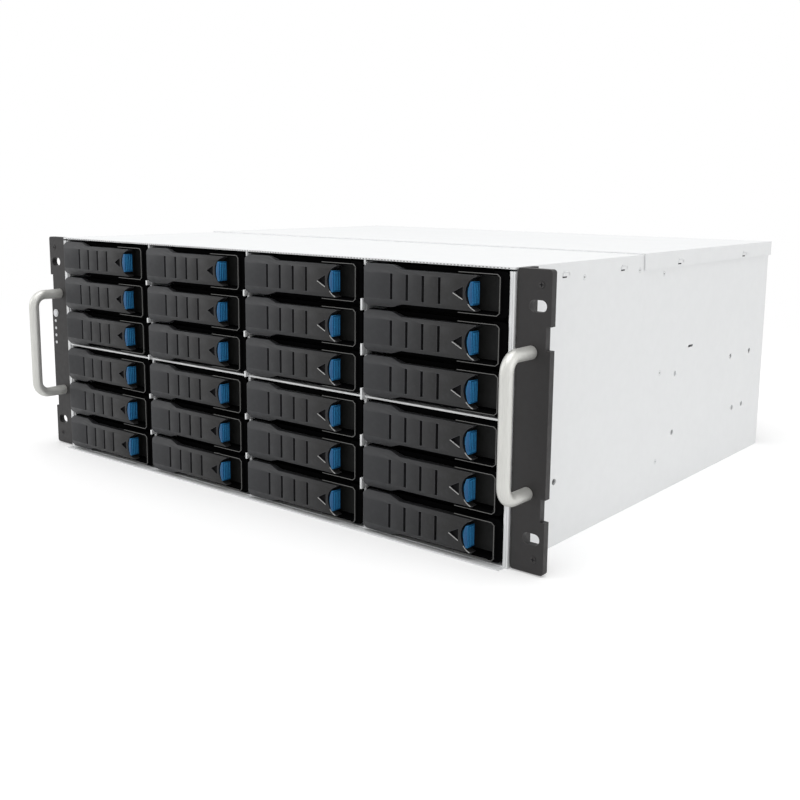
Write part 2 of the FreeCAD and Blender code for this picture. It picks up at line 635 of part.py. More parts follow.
def make_backplanes():
    """Two backplanes with a connector for each bay, and the board that feeds them."""
    edge = f"{HALF_BAYS} - divider_sheet / 2"
    boards = []
    for name, low, high, rows in (("lower", "sheet", SHELF_LOW, range(4, 7)),
                                  ("upper", f"{SHELF_LOW} + sheet", "wall_top - sheet", range(1, 4))):
        board = block(f"backplane_{name}", (f"-({edge})", edge),
                      ("board_front", "board_front + board_sheet"),
                      (f"{low} + board_edge", f"{high} - board_edge"))
        windows = []
        for row in rows:
            for column in range(1, COLUMNS + 1):
                for side in (-1, 1):
                    x = f"({column_left(column)} + column_pitch / 2 + {side} * airway_offset)"
                    z = f"({row_base(row)} + bezel_height / 2)"
                    windows.append(block(f"airway_{row}_{column}_{side + 1}",
                                         (f"{x} - airway_width / 2", f"{x} + airway_width / 2"),
                                         ("board_front - 1", "board_front + board_sheet + 1"),
                                         (f"{z} - airway_height / 2", f"{z} + airway_height / 2")))
        boards.append(cut(f"backplane_cut_{name}", board, group(f"airways_{name}", *windows)))
    sockets = []
    for row in range(1, ROWS + 1):
        for column in range(1, COLUMNS + 1):
            x = f"({column_left(column)} + column_pitch / 2)"
            z = f"({row_base(row)} + socket_level)"
            sockets.append(block(f"socket_{row}_{column}",
                                 (f"{x} - socket_width / 2", f"{x} + socket_width / 2"),
                                 ("drive_front + drive_length + socket_gap", "board_front"),
                                 (z, f"{z} + socket_height")))
    rear = "board_front + board_sheet"
    shelf_middle = f"{SHELF_LOW} + sheet / 2"
    link = block("backplane_link", ("-link_width / 2", "link_width / 2"), (rear, f"{rear} + link_depth"),
                 (f"{shelf_middle} - link_height / 2", f"{shelf_middle} + link_height / 2"))
    front = "supply_front - midplane_gap"
    midplane = block("midplane", (f"-{WALL_INNER} + board_edge", f"{supply_left(1)} + supply_width"),
                     (front, f"{front} + board_sheet"), ("sheet", "sheet + module_height"))
    bridge = block("bridge_board", ("-bridge_width / 2", "bridge_width / 2"), (rear, front),
                   ("bridge_level", "bridge_level + board_sheet"))
    plugs = []
    for name, low, high in (("canister", f"-{WALL_INNER}", f"{supply_left(2)} - sheet"),
                            ("supply2", supply_left(2), f"{supply_left(2)} + supply_width"),
                            ("supply1", supply_left(1), f"{supply_left(1)} + supply_width")):
        plugs.append(block(f"plug_{name}", (f"{low} + plug_inset", f"{high} - plug_inset"),
                           (f"{front} + board_sheet", "supply_front - socket_gap"),
                           ("sheet + plug_low", "sheet + plug_low + plug_height")))
    node(group("backplane_group", *boards, *sockets, link, midplane, bridge, *plugs), "backplane_boards")


def supply_left(number):
    """Left side of a power supply; supply 1 is against the right side wall."""
    return f"({WALL_INNER} - {number} * (supply_width + 2 * module_gap + sheet) + sheet + module_gap)"


def make_rear_deck():
    """The deck over the rear modules, with its side flanges and the walls between the modules."""
    reach = ("deck_front", "body_depth")
    flange_reach = ("fan_wall + sheet + fan_depth + fan_foot + module_gap",
                    "body_depth - sheet - module_gap")
    pieces = [block("deck_top", (f"-{WALL_INNER}", WALL_INNER), reach, ("deck_level", DECK_TOP))]
    for side, sign in (("left", "-"), ("right", "")):
        flange = sorted_span(sign, f"({WALL_INNER} - sheet)", WALL_INNER)
        pieces.append(block(f"deck_flange_{side}", flange, flange_reach,
                            ("deck_level", f"{DECK_TOP} + deck_skirt")))
    for number in (1, 2):
        left = f"({supply_left(number)} - module_gap - sheet)"
        pieces.append(block(f"deck_wall{number}", (left, f"{left} + sheet"), ("supply_front", "body_depth"),
                            ("sheet", DECK_TOP)))
    node(fuse("deck", *pieces), "rear_deck")


def fan_middle(fan):
    """Distance of a fan's axis from the chassis middle; fan 0 is the left one."""
    return f"({fan - (FAN_COUNT - 1) / 2} * fan_pitch)"


def make_fan_wall():
    """The fan bracket, the three fan housings and their rotors."""
    wall = block("fan_wall_plate", (f"-{WALL_INNER}", WALL_INNER), ("fan_wall", "fan_wall + sheet"),
                 (DECK_TOP, "wall_top - 2 * sheet"))
    bores = [rod(f"wall_bore{fan}", "y", "fan_bore", (fan_middle(fan), FAN_LEVEL),
                 ("fan_wall - 1", "fan_wall + sheet + 1")) for fan in range(FAN_COUNT)]
    foot = block("fan_wall_foot", (f"-{WALL_INNER}", WALL_INNER),
                 ("fan_wall + sheet + fan_depth", "fan_wall + sheet + fan_depth + fan_foot"),
                 (DECK_TOP, f"{DECK_TOP} + sheet"))
    stile = [block(f"fan_wall_stile{side}", sorted_span(sign, f"({WALL_INNER} - sheet)", WALL_INNER),
                   ("fan_wall", "fan_wall + sheet + fan_depth + fan_foot"),
                   (DECK_TOP, "wall_top - 2 * sheet"))
             for side, sign in enumerate(("-", ""))]
    plate = cut("fan_wall_cut", wall, group("wall_bores", *bores))
    node(fuse("fan_wall_sheet", plate, foot, *stile), "fan_bracket")
    housings = []
    front = "(fan_wall + sheet)"
    rear = f"({front} + fan_depth)"
    for fan, side in enumerate(("left", "center", "right")):
        x = fan_middle(fan)
        square = block(f"fan_square{fan}", (f"{x} - fan_size / 2", f"{x} + fan_size / 2"), (front, rear),
                       (f"{FAN_LEVEL} - fan_size / 2", f"{FAN_LEVEL} + fan_size / 2"))
        bore = rod(f"fan_bore{fan}", "y", "fan_bore", (x, FAN_LEVEL), (f"{front} - 1", f"{rear} + 1"))
        motor = rod(f"fan_motor{fan}", "y", "fan_hub", (x, FAN_LEVEL), (f"{rear} - motor_depth", rear))
        struts = [block(f"fan_strut{fan}_0", (f"{x} - fan_bore - 1", f"{x} + fan_bore + 1"),
                        (f"{rear} - motor_depth", rear),
                        (f"{FAN_LEVEL} - strut_width / 2", f"{FAN_LEVEL} + strut_width / 2")),
                  block(f"fan_strut{fan}_1", (f"{x} - strut_width / 2", f"{x} + strut_width / 2"),
                        (f"{rear} - motor_depth", rear),
                        (f"{FAN_LEVEL} - fan_bore - 1", f"{FAN_LEVEL} + fan_bore + 1"))]
        body = fuse(f"fan_body{fan}", cut(f"fan_ring{fan}", square, bore), motor, *struts)
        bearing = rod(f"fan_bearing{fan}", "y", "shaft_radius + pin_play", (x, FAN_LEVEL),
                      (f"{rear} - motor_depth - 1", f"{rear} - 1"))
        housings.append(cut(f"fan_housing{fan}", body, bearing))
        make_fan_rotor(fan, side, x, f"({rear} - motor_depth - module_gap)")
    node(group("fan_housing_group", *housings), "fan_housings")


def make_fan_rotor(fan, side, x, back):
    """A hub with pitched blades and the shaft that runs in the housing."""
    middle = f"({back} - hub_depth / 2)"
    blades = []
    for number in range(FAN_BLADES):
        blade = document.addObject("Part::Box", f"blade{fan}_{number}")
        bind(blade, "Length", "fan_tip")
        bind(blade, "Width", "blade_chord")
        bind(blade, "Height", "blade_sheet")
        pitched = Rotation(Vector(1, 0, 0), value("blade_pitch"))
        turn = Rotation(Vector(0, 1, 0), 360.0 * number / FAN_BLADES)
        corner = turn.multiply(pitched).multVec(
            Vector(0, -value("blade_chord") / 2, -value("blade_sheet") / 2))
        blade.Placement = Placement(corner, turn.multiply(pitched))
        blades.append(blade)
    sweep = rod(f"sweep{fan}", "y", "fan_tip", ("0", "0"), ("-hub_depth / 2", "hub_depth / 2"))
    trimmed = common(f"blades_trimmed{fan}", fuse(f"blades{fan}", *blades), sweep)
    hub = rod(f"hub{fan}", "y", "fan_hub", ("0", "0"), ("-hub_depth / 2", "hub_depth / 2"))
    shaft = rod(f"shaft{fan}", "y", "shaft_radius", ("0", "0"),
                ("0", "hub_depth / 2 + module_gap + motor_depth - 1.5"))
    rotor = fuse(f"rotor{fan}", hub, trimmed, shaft)
    bind(rotor, "Placement.Base.x", x)
    bind(rotor, "Placement.Base.y", middle)
    bind(rotor, "Placement.Base.z", FAN_LEVEL)
    node(rotor, f"fan_rotor_{side}")


MODULE_LOW = "(sheet + module_gap)"
MODULE_MIDDLE = f"({MODULE_LOW} + module_height / 2)"


def make_power_supply(number):
    """A power supply with its mains inlet, fixed grip and sprung release catch."""
    left = supply_left(number)
    rear = "body_depth"
    case = block(f"supply_case{number}", (left, f"{left} + supply_width"), ("supply_front", rear),
                 (MODULE_LOW, f"{MODULE_LOW} + module_height"))
    inlet_x = (f"{left} + inlet_left", f"{left} + inlet_left + inlet_width")
    inlet_z = (f"{MODULE_MIDDLE} - inlet_height / 2", f"{MODULE_MIDDLE} + inlet_height / 2")
    inlet_y = (f"{rear} - inlet_depth - inlet_wall", f"{rear} + sheet")
    seat = block(f"inlet_seat{number}", inlet_x, (inlet_y[0], f"{rear} + 1"), inlet_z)
    catch_x = f"({left} + catch_left)"
    room = block(f"catch_room{number}",
                 (f"{catch_x} - catch_sheet", f"{catch_x} + catch_sheet / 2 + catch_room"),
                 (f"{rear} - catch_pivot - catch_sheet", f"{rear} + 1"),
                 (f"{MODULE_MIDDLE} - catch_half - module_gap",
                  f"{MODULE_MIDDLE} + catch_half + module_gap"))
    pin_span = (f"{MODULE_MIDDLE} - catch_half - 2", f"{MODULE_MIDDLE} + catch_half + 2")
    pin_place = (catch_x, f"{rear} - catch_pivot")
    pin_hole = rod(f"catch_pin_hole{number}", "z", "pin_radius", pin_place, pin_span)
    shell = cut(f"supply_shell{number}", case, seat, room, pin_hole)
    pin = rod(f"catch_pin{number}", "z", "pin_radius", pin_place, pin_span)
    socket = cut(f"inlet_socket{number}", block(f"inlet_block{number}", inlet_x, inlet_y, inlet_z),
                 block(f"inlet_hollow{number}", (f"{inlet_x[0]} + inlet_wall", f"{inlet_x[1]} - inlet_wall"),
                       (f"{rear} - inlet_depth", f"{rear} + 2 * sheet"),
                       (f"{inlet_z[0]} + inlet_wall", f"{inlet_z[1]} - inlet_wall")))
    blades = []
    for blade, (across, up) in enumerate(((-7, -1.5), (0, 2.5), (7, -1.5))):
        x = f"({left} + inlet_left + inlet_width / 2 + {across})"
        z = f"({MODULE_MIDDLE} + {up})"
        blades.append(block(f"inlet_blade{number}_{blade}", (f"{x} - 1", f"{x} + 1"),
                            (f"{rear} - inlet_depth - 1", f"{rear} - inlet_depth + blade_length"),
                            (f"{z} - 2", f"{z} + 2")))
    inlet = fuse(f"inlet{number}", socket, *blades)
    grip_x = (f"{left} + grip_left", f"{left} + grip_left + grip_width")
    grip_z = (f"{MODULE_LOW} + grip_inset", f"{MODULE_LOW} + module_height - grip_inset")
    grip = cut(f"grip{number}", block(f"grip_block{number}", grip_x, (rear, f"{rear} + grip_reach"), grip_z),
               block(f"grip_hollow{number}", (f"{grip_x[0]} - 1", f"{grip_x[1]} + 1"),
                     (f"{rear} - 1", f"{rear} + grip_reach - grip_bar"),
                     (f"{grip_z[0]} + grip_bar", f"{grip_z[1]} - grip_bar")))
    node(group(f"supply_group{number}", shell, pin, inlet, grip), f"power_supply_{number}")
    plate = block(f"catch_plate{number}", (f"{catch_x} - catch_sheet / 2", f"{catch_x} + catch_sheet / 2"),
                  (f"{rear} - catch_pivot", f"{rear} + catch_reach"),
                  (f"{MODULE_MIDDLE} - catch_half", f"{MODULE_MIDDLE} + catch_half"))
    knuckle = rod(f"catch_knuckle{number}", "z", "pin_radius + 1.2", pin_place,
                  (f"{MODULE_MIDDLE} - catch_half", f"{MODULE_MIDDLE} + catch_half"))
    pad = block(f"catch_pad{number}", (f"{catch_x} - catch_sheet / 2 - 1.5", f"{catch_x} + catch_sheet / 2"),
                (f"{rear} + catch_reach - 3", f"{rear} + catch_reach"),
                (f"{MODULE_MIDDLE} - catch_half", f"{MODULE_MIDDLE} + catch_half"))
    hole = rod(f"catch_hole{number}", "z", "pin_radius + pin_play", pin_place,
               (f"{MODULE_MIDDLE} - catch_half - 1", f"{MODULE_MIDDLE} + catch_half + 1"))
    solid = fuse(f"catch_body{number}", plate, knuckle, pad)
    node(cut(f"catch{number}", solid, hole), f"psu_catch_{number}")


def make_canister():
    """The expander canister: an open-fronted case with its board, ports and ejector lever."""
    low_x = f"(-{WALL_INNER} + module_gap)"
    high_x = f"({supply_left(2)} - 2 * module_gap - sheet)"
    rear = "body_depth"
    shell = cut("canister_shell", block("canister_block", (low_x, high_x), ("supply_front", rear),
                                        (MODULE_LOW, f"{MODULE_LOW} + module_height")),
                block("canister_hollow", (f"{low_x} + sheet", f"{high_x} - sheet"),
                      ("supply_front - 1", f"{rear} - port_depth - 2 * sheet"),
                      (f"{MODULE_LOW} + sheet", f"{MODULE_LOW} + module_height - sheet")))
    ports = block("port_mouth", (f"{low_x} + port_left", f"{low_x} + port_left + port_width"),
                  (f"{rear} - port_depth", f"{rear} + 1"),
                  (f"{MODULE_MIDDLE} - port_height / 2", f"{MODULE_MIDDLE} + port_height / 2"))
    case = cut("canister_case", shell, ports)
    pin_x = f"({high_x} - handle_inset)"
    pin_y = f"({rear} + handle_stand)"
    lugs = []
    for number, sign in enumerate((-1, 1)):
        near = f"{MODULE_MIDDLE} + {sign} * (handle_half + module_gap)"
        far = f"{MODULE_MIDDLE} + {sign} * (handle_half + module_gap + 3)"
        span = (near, far) if sign > 0 else (far, near)
        body = fuse(f"handle_lug{number}",
                    block(f"handle_lug_block{number}", (f"{pin_x} - 3", f"{pin_x} + 3"),
                          (rear, pin_y), span),
                    rod(f"handle_lug_round{number}", "z", "3", (pin_x, pin_y), span))
        lugs.append(cut(f"handle_lug_bored{number}", body,
                        rod(f"handle_lug_hole{number}", "z", "pin_radius", (pin_x, pin_y),
                            (f"{span[0]} - 1", f"{span[1]} + 1"))))
    pin = rod("handle_pin", "z", "pin_radius", (pin_x, pin_y),
              (f"{MODULE_MIDDLE} - handle_half - module_gap - 3",
               f"{MODULE_MIDDLE} + handle_half + module_gap + 3"))
    board = block("expander_board", (f"{low_x} + 2 * sheet", f"{high_x} - 2 * sheet"),
                  ("supply_front + 4", f"{rear} - port_depth - 2 * sheet"),
                  (f"{MODULE_LOW} + sheet", f"{MODULE_LOW} + sheet + board_sheet"))
    sink = block("expander_heat_sink", (f"{low_x} + 90", f"{low_x} + 140"),
                 ("supply_front + 60", "supply_front + 110"),
                 (f"{MODULE_LOW} + sheet + board_sheet", f"{MODULE_LOW} + sheet + board_sheet + 15"))
    lugged = fuse("canister_with_lugs", case, *lugs)
    node(group("canister_group", lugged, pin, board, sink), "expander_canister")
    bar = block("handle_lever_bar", (f"{pin_x} - handle_length", pin_x),
                (f"{pin_y} - handle_bar / 2", f"{pin_y} + handle_bar / 2"),
                (f"{MODULE_MIDDLE} - handle_half", f"{MODULE_MIDDLE} + handle_half"))
    eye = rod("handle_lever_eye", "z", "handle_bar / 2 + 1", (pin_x, pin_y),
              (f"{MODULE_MIDDLE} - handle_half", f"{MODULE_MIDDLE} + handle_half"))
    hole = rod("handle_lever_hole", "z", "pin_radius + pin_play", (pin_x, pin_y),
               (f"{MODULE_MIDDLE} - handle_half - 1", f"{MODULE_MIDDLE} + handle_half + 1"))
    node(cut("handle_lever", fuse("handle_lever_body", bar, eye), hole), "canister_lever")


def make_ears():
    """Rack ears with slots, notches and a flange on the chassis wall; the left one holds controls."""
    body = document.addObject("PartDesign::Body", "ear_plate_body")
    low = f"({EAR_MIDDLE} - notch_offset - notch_height / 2)"
    high = f"({EAR_MIDDLE} - notch_offset + notch_height / 2)"
    upper_low = f"({EAR_MIDDLE} + notch_offset - notch_height / 2)"
    upper_high = f"({EAR_MIDDLE} + notch_offset + notch_height / 2)"
    inset = "ear_outer - notch_depth"
    outline = [("ear_inner", "ear_low"), ("ear_outer", "ear_low"), ("ear_outer", low), (inset, low),
               (inset, high), ("ear_outer", high), ("ear_outer", upper_low), (inset, upper_low),
               (inset, upper_high), ("ear_outer", upper_high), ("ear_outer", "ear_high"),
               ("ear_inner", "ear_high")]
    pad = extrude(body, "PartDesign::Pad", "ear_pad", "xz", ("0", "ear_plate"), [outline])
    document.recompute()
    corners = edges_at(pad, "y", [value("ear_outer"), value("ear_inner")],
                       [value("ear_low"), value("ear_high")])
    round_edges(body, "ear_corners", pad, corners, "ear_corner")
    flange = block("ear_flange_block", (HALF_BODY, f"{HALF_BODY} + flange_sheet"),
                   ("ear_plate / 2", "ear_flange"), ("ear_low + ear_corner", "ear_high - 0.2"))
    cutters = []
    through = ("-1", "ear_plate + 1")
    for number, sign in enumerate((-1, 1)):
        slot_z = f"({EAR_MIDDLE} + {sign} * rack_hole_offset)"
        bolt_z = f"({EAR_MIDDLE} + {sign} * grip_half)"
        screw_z = f"({EAR_MIDDLE} + {sign} * ear_screw_offset)"
        cutters.append(slotted(f"rack_slot{number}", "y", ("rack_hole_x", slot_z),
                               "rack_slot_length", "rack_slot_width", through))
        cutters.append(rod(f"ear_bolt_hole{number}", "y", "bolt_radius + power_play",
                           ("grip_x", bolt_z), through))
        cutters.append(rod(f"ear_screw_hole{number}", "y", "ear_screw_radius + power_play",
                           ("ear_screw_x", screw_z), through))
    right = cut("ear_right_body", fuse("ear_blank", body, flange), group("ear_cuts", *cutters))
    node(right, "ear_right")
    controls = [rod("power_hole", "y", "power_radius + power_play", ("-power_x", "power_z"), through)]
    for number in range(LAMP_COUNT):
        controls.append(rod(f"lamp_hole{number}", "y", "lamp_radius + power_play",
                            ("-lamp_x", f"(lamp_first - {number} * lamp_step)"), through))
    left = cut("ear_left_body", mirrored("ear_left_blank", right), group("control_cuts", *controls))
    node(left, "ear_left")


def make_handles_and_screws():
    """The two bent-rod handles, the screws that hold them and the small screws in the ears."""
    legs_z = [f"({EAR_MIDDLE} + {sign} * grip_half)" for sign in (-1, 1)]
    body = document.addObject("PartDesign::Body", "handle_body")
    path = sketch_on(body, "handle_path", "yz", "grip_x")
    draw_handle_path(path, legs_z)
    profile = sketch_on(body, "handle_profile", "xz", "0")
    draw_circle(profile, ("grip_x", legs_z[0]), "grip_radius")
    document.recompute()
    bent = body.newObject("PartDesign::AdditivePipe", "handle_rod")
    bent.Profile = profile
    bent.Spine = (path, [f"Edge{number}" for number in range(1, 6)])
    document.recompute()
    bores = []
    bolts = []
    for number, z in enumerate(legs_z):
        bores.append(rod(f"handle_bore{number}", "y", "bolt_radius + power_play", ("grip_x", z),
                         ("-bolt_grip - 0.5", "1")))
        head = rod(f"bolt_head{number}", "y", "bolt_head", ("grip_x", z),
                   ("ear_plate", "ear_plate + bolt_head_depth"))
        shank = rod(f"bolt_shank{number}", "y", "bolt_radius", ("grip_x", z), ("-bolt_grip", "ear_plate"))
        bolts.append(fuse(f"bolt{number}", head, shank))
    for number, sign in enumerate((-1, 1)):
        z = f"({EAR_MIDDLE} + {sign} * ear_screw_offset)"
        stud = rod(f"ear_screw_stud{number}", "y", "ear_screw_radius", ("ear_screw_x", z),
                   ("-0.3", "ear_plate"))
        cross = [block(f"screw_slot{number}_0", ("ear_screw_x - 1.1", "ear_screw_x + 1.1"), ("-1", "0.4"),
                       (f"{z} - 0.3", f"{z} + 0.3")),
                 block(f"screw_slot{number}_1", ("ear_screw_x - 0.3", "ear_screw_x + 0.3"), ("-1", "0.4"),
                       (f"{z} - 1.1", f"{z} + 1.1"))]
        bolts.append(cut(f"ear_screw{number}", stud, *cross))
    handle = cut("handle_right_rod", body, group("handle_bores", *bores))
    node(group("handle_pair", mirrored("handle_left_rod", handle), handle), "front_handles")
    bolt_set = group("bolt_set", *bolts)
    node(group("screw_set", mirrored("bolt_set_left", bolt_set), bolt_set), "ear_screws")


def draw_handle_path(sketch, legs_z):
    """Two legs and a bar with a bend between them, all tangent."""
    low, high, out, bend = (value("ear_low"), value("ear_high"), value("grip_stand"), value("grip_bend"))
    middle = (low + high) / 2
    bottom, top = (middle - value("grip_half"), middle + value("grip_half"))
    corner = Vector(-out, bottom, 0)
    arc_low = Part.Arc(Vector(bend - out, bottom, 0), corner + Vector(0.293 * bend, 0.293 * bend, 0),
                       Vector(-out, bottom + bend, 0))
    corner = Vector(-out, top, 0)
    arc_high = Part.Arc(Vector(-out, top - bend, 0), corner + Vector(0.293 * bend, -0.293 * bend, 0),
                        Vector(bend - out, top, 0))
    sketch.addGeometry(Part.LineSegment(Vector(0, bottom, 0), Vector(bend - out, bottom, 0)), False)
    sketch.addGeometry(arc_low, False)
    sketch.addGeometry(Part.LineSegment(Vector(-out, bottom + bend, 0), Vector(-out, top - bend, 0)), False)
    sketch.addGeometry(arc_high, False)
    sketch.addGeometry(Part.LineSegment(Vector(bend - out, top, 0), Vector(0, top, 0)), False)
    ends = [(0, 2, 1, 2), (1, 1, 2, 1), (2, 2, 3, 2), (3, 1, 4, 1)]
    for first, first_end, second, second_end in ends:
        sketch.addConstraint(Sketcher.Constraint("Tangent", first, first_end, second, second_end))
    sketch.addConstraint(Sketcher.Constraint("Horizontal", 0))
    sketch.addConstraint(Sketcher.Constraint("Vertical", 2))
    sketch.addConstraint(Sketcher.Constraint("Horizontal", 4))
    hold_point(sketch, 0, 1, ("0", legs_z[0]))
    hold_point(sketch, 4, 2, ("0", legs_z[1]))
    reach = sketch.addConstraint(Sketcher.Constraint("DistanceX", 2, 1, -out))
    bind(sketch, f"Constraints[{reach}]", "-grip_stand")
    for arc in (1, 3):
        radius = sketch.addConstraint(Sketcher.Constraint("Radius", arc, bend))
        bind(sketch, f"Constraints[{radius}]", "grip_bend")


def make_controls():
    """Power button, its ring, the indicators and the board in its housing behind the left ear."""
    cap = rod("power_cap", "y", "power_radius", ("-power_x", "power_z"), ("-power_rise", "ear_plate + 1"))
    stop = rod("power_stop", "y", "power_ring", ("-power_x", "power_z"),
               ("ear_plate + 0.3", "ear_plate + 1"))
    node(fuse("power_plunger", cap, stop), "power_button")
    back = "(ear_plate + control_depth)"
    housing = cut("control_housing",
                  block("control_block", ("-control_left", "-control_right"), ("ear_plate", back),
                        ("control_low", "control_high")),
                  block("control_hollow", ("-control_left + control_wall", "-control_right - control_wall"),
                        ("ear_plate - 1", f"{back} - control_wall"),
                        ("control_low + control_wall", "control_high - control_wall")))
    board = block("control_board", ("-control_left + control_wall", "-control_right - control_wall"),
                  (f"{back} - control_wall - board_sheet", f"{back} - control_wall"),
                  ("control_low + control_wall", "control_high - control_wall"))
    switch = rod("power_switch", "y", "power_radius", ("-power_x", "power_z"),
                 ("ear_plate + 1 + power_travel + power_play", f"{back} - control_wall - board_sheet"))
    pipes = [rod(f"lamp_pipe{number}", "y", "lamp_radius",
                 ("-lamp_x", f"(lamp_first - {number} * lamp_step)"),
                 ("-0.2", f"{back} - control_wall - board_sheet")) for number in range(LAMP_COUNT)]
    disc = rod("power_ring_disc", "y", "power_ring", ("-power_x", "power_z"), ("-0.5", "0"))
    hole = rod("power_ring_hole", "y", "power_radius + power_play", ("-power_x", "power_z"), ("-1", "1"))
    ring = cut("power_ring_body", disc, hole)
    node(group("control_group", housing, board, switch, ring, *pipes), "control_panel")


TRAY_MIDDLE = "bezel_height / 2"


def make_tray_frame():
    """A tray: bezel with its finger recess, side arms and the lug for the lever's pin."""
    inner = ("divider_sheet / 2 + tray_clear", "column_pitch - divider_sheet / 2 - tray_clear")
    plate_back = "(plate_front + plate_sheet)"
    plate = document.addObject("PartDesign::Body", "bezel_plate_body")
    panel = extrude(plate, "PartDesign::Pad", "plate_pad", "xz", ("plate_front", plate_back),
                    [rectangle(inner, ("0", "bezel_height"))])
    document.recompute()
    round_edges(plate, "plate_corners", panel, edges_at(panel, "y"), "rim_corner")
    windows = []
    for number in range(VENT_WINDOWS):
        x = f"(vent_left + {number} * vent_step)"
        windows.append(block(f"bezel_window{number}", (x, f"{x} + vent_width"),
                             ("plate_front - 0.1", f"{plate_back} + 0.1"),
                             ("vent_inset", "bezel_height - vent_inset")))
    body = document.addObject("PartDesign::Body", "bezel_rim_body")
    rim = extrude(body, "PartDesign::Pad", "rim_pad", "xz", ("-rim_front", "-tray_clear"),
                  [rectangle(("frame_right - 6", "column_pitch - bezel_edge"), ("0", "bezel_height"))])
    document.recompute()
    corners = edges_at(rim, "y", [value("column_pitch") - value("bezel_edge")], [0, value("bezel_height")])
    round_edges(body, "rim_corners", rim, corners, "rim_corner")
    neck = block("bezel_neck", ("frame_right - 6", inner[1]), ("-tray_clear", "plate_front"),
                 ("rim_corner", "bezel_height - rim_corner"))
    shell = document.addObject("PartDesign::Body", "bezel_frame_body")
    frame_z = ("frame_inset", "bezel_height - frame_inset")
    frame = extrude(shell, "PartDesign::Pad", "frame_pad", "xz",
                    ("-frame_front", "recess_floor + recess_skin"),
                    [rectangle(("frame_left", "frame_right"), frame_z)])
    document.recompute()
    corners = edges_at(frame, "y", [value("frame_right")],
                       [value("frame_inset"), value("bezel_height") - value("frame_inset")])
    round_edges(shell, "frame_corners", frame, corners, "rim_corner")
    recess_body = document.addObject("PartDesign::Body", "recess_body")
    hollow_z = ("frame_inset + frame_wall", "bezel_height - frame_inset - frame_wall")
    recess = extrude(recess_body, "PartDesign::Pad", "recess_pad", "xz",
                     ("-frame_front - 1", "recess_floor"),
                     [rectangle(("recess_left", "frame_right - frame_wall"), hollow_z)])
    document.recompute()
    corners = edges_at(recess, "y", [value("frame_right") - value("frame_wall")], None)
    round_edges(recess_body, "recess_corners", recess, corners, "rim_corner - frame_wall")
    channel = block("lever_channel", ("frame_left - 1", "recess_left + 1"),
                    ("-frame_front - 1", "-channel_floor"), hollow_z)
    lug_span = (f"{TRAY_MIDDLE} - lug_half", f"{TRAY_MIDDLE} + lug_half")
    pivot = ("pivot_inset", "-pivot_depth")
    lug_block = block("lug_block", ("pivot_inset - lug_radius", "pivot_inset + lug_radius"),
                      ("-pivot_depth", plate_back), lug_span)
    lug_round = rod("lug_round", "z", "lug_radius", pivot, lug_span)
    bore = rod("lug_bore", "z", "pin_radius + pin_play", pivot, ("0", "bezel_height"))
    reach = (plate_back, "arm_end")
    arms = [block("arm_left", (inner[0], f"{inner[0]} + arm_sheet"), reach, ("0", "arm_height")),
            block("arm_right", (f"{inner[1]} - arm_sheet", inner[1]), reach, ("0", "arm_height"))]
    stubs = stub_rods("stub", "stub_radius", "stub_length", "arm_sheet / 2")
    windowed = cut("plate_with_windows", plate, group("plate_windows", *windows))
    whole = fuse("tray_whole", windowed, body, neck, shell, lug_block, lug_round, *arms, *stubs)
    return cut("tray_frame", whole, bore, recess_body, channel)


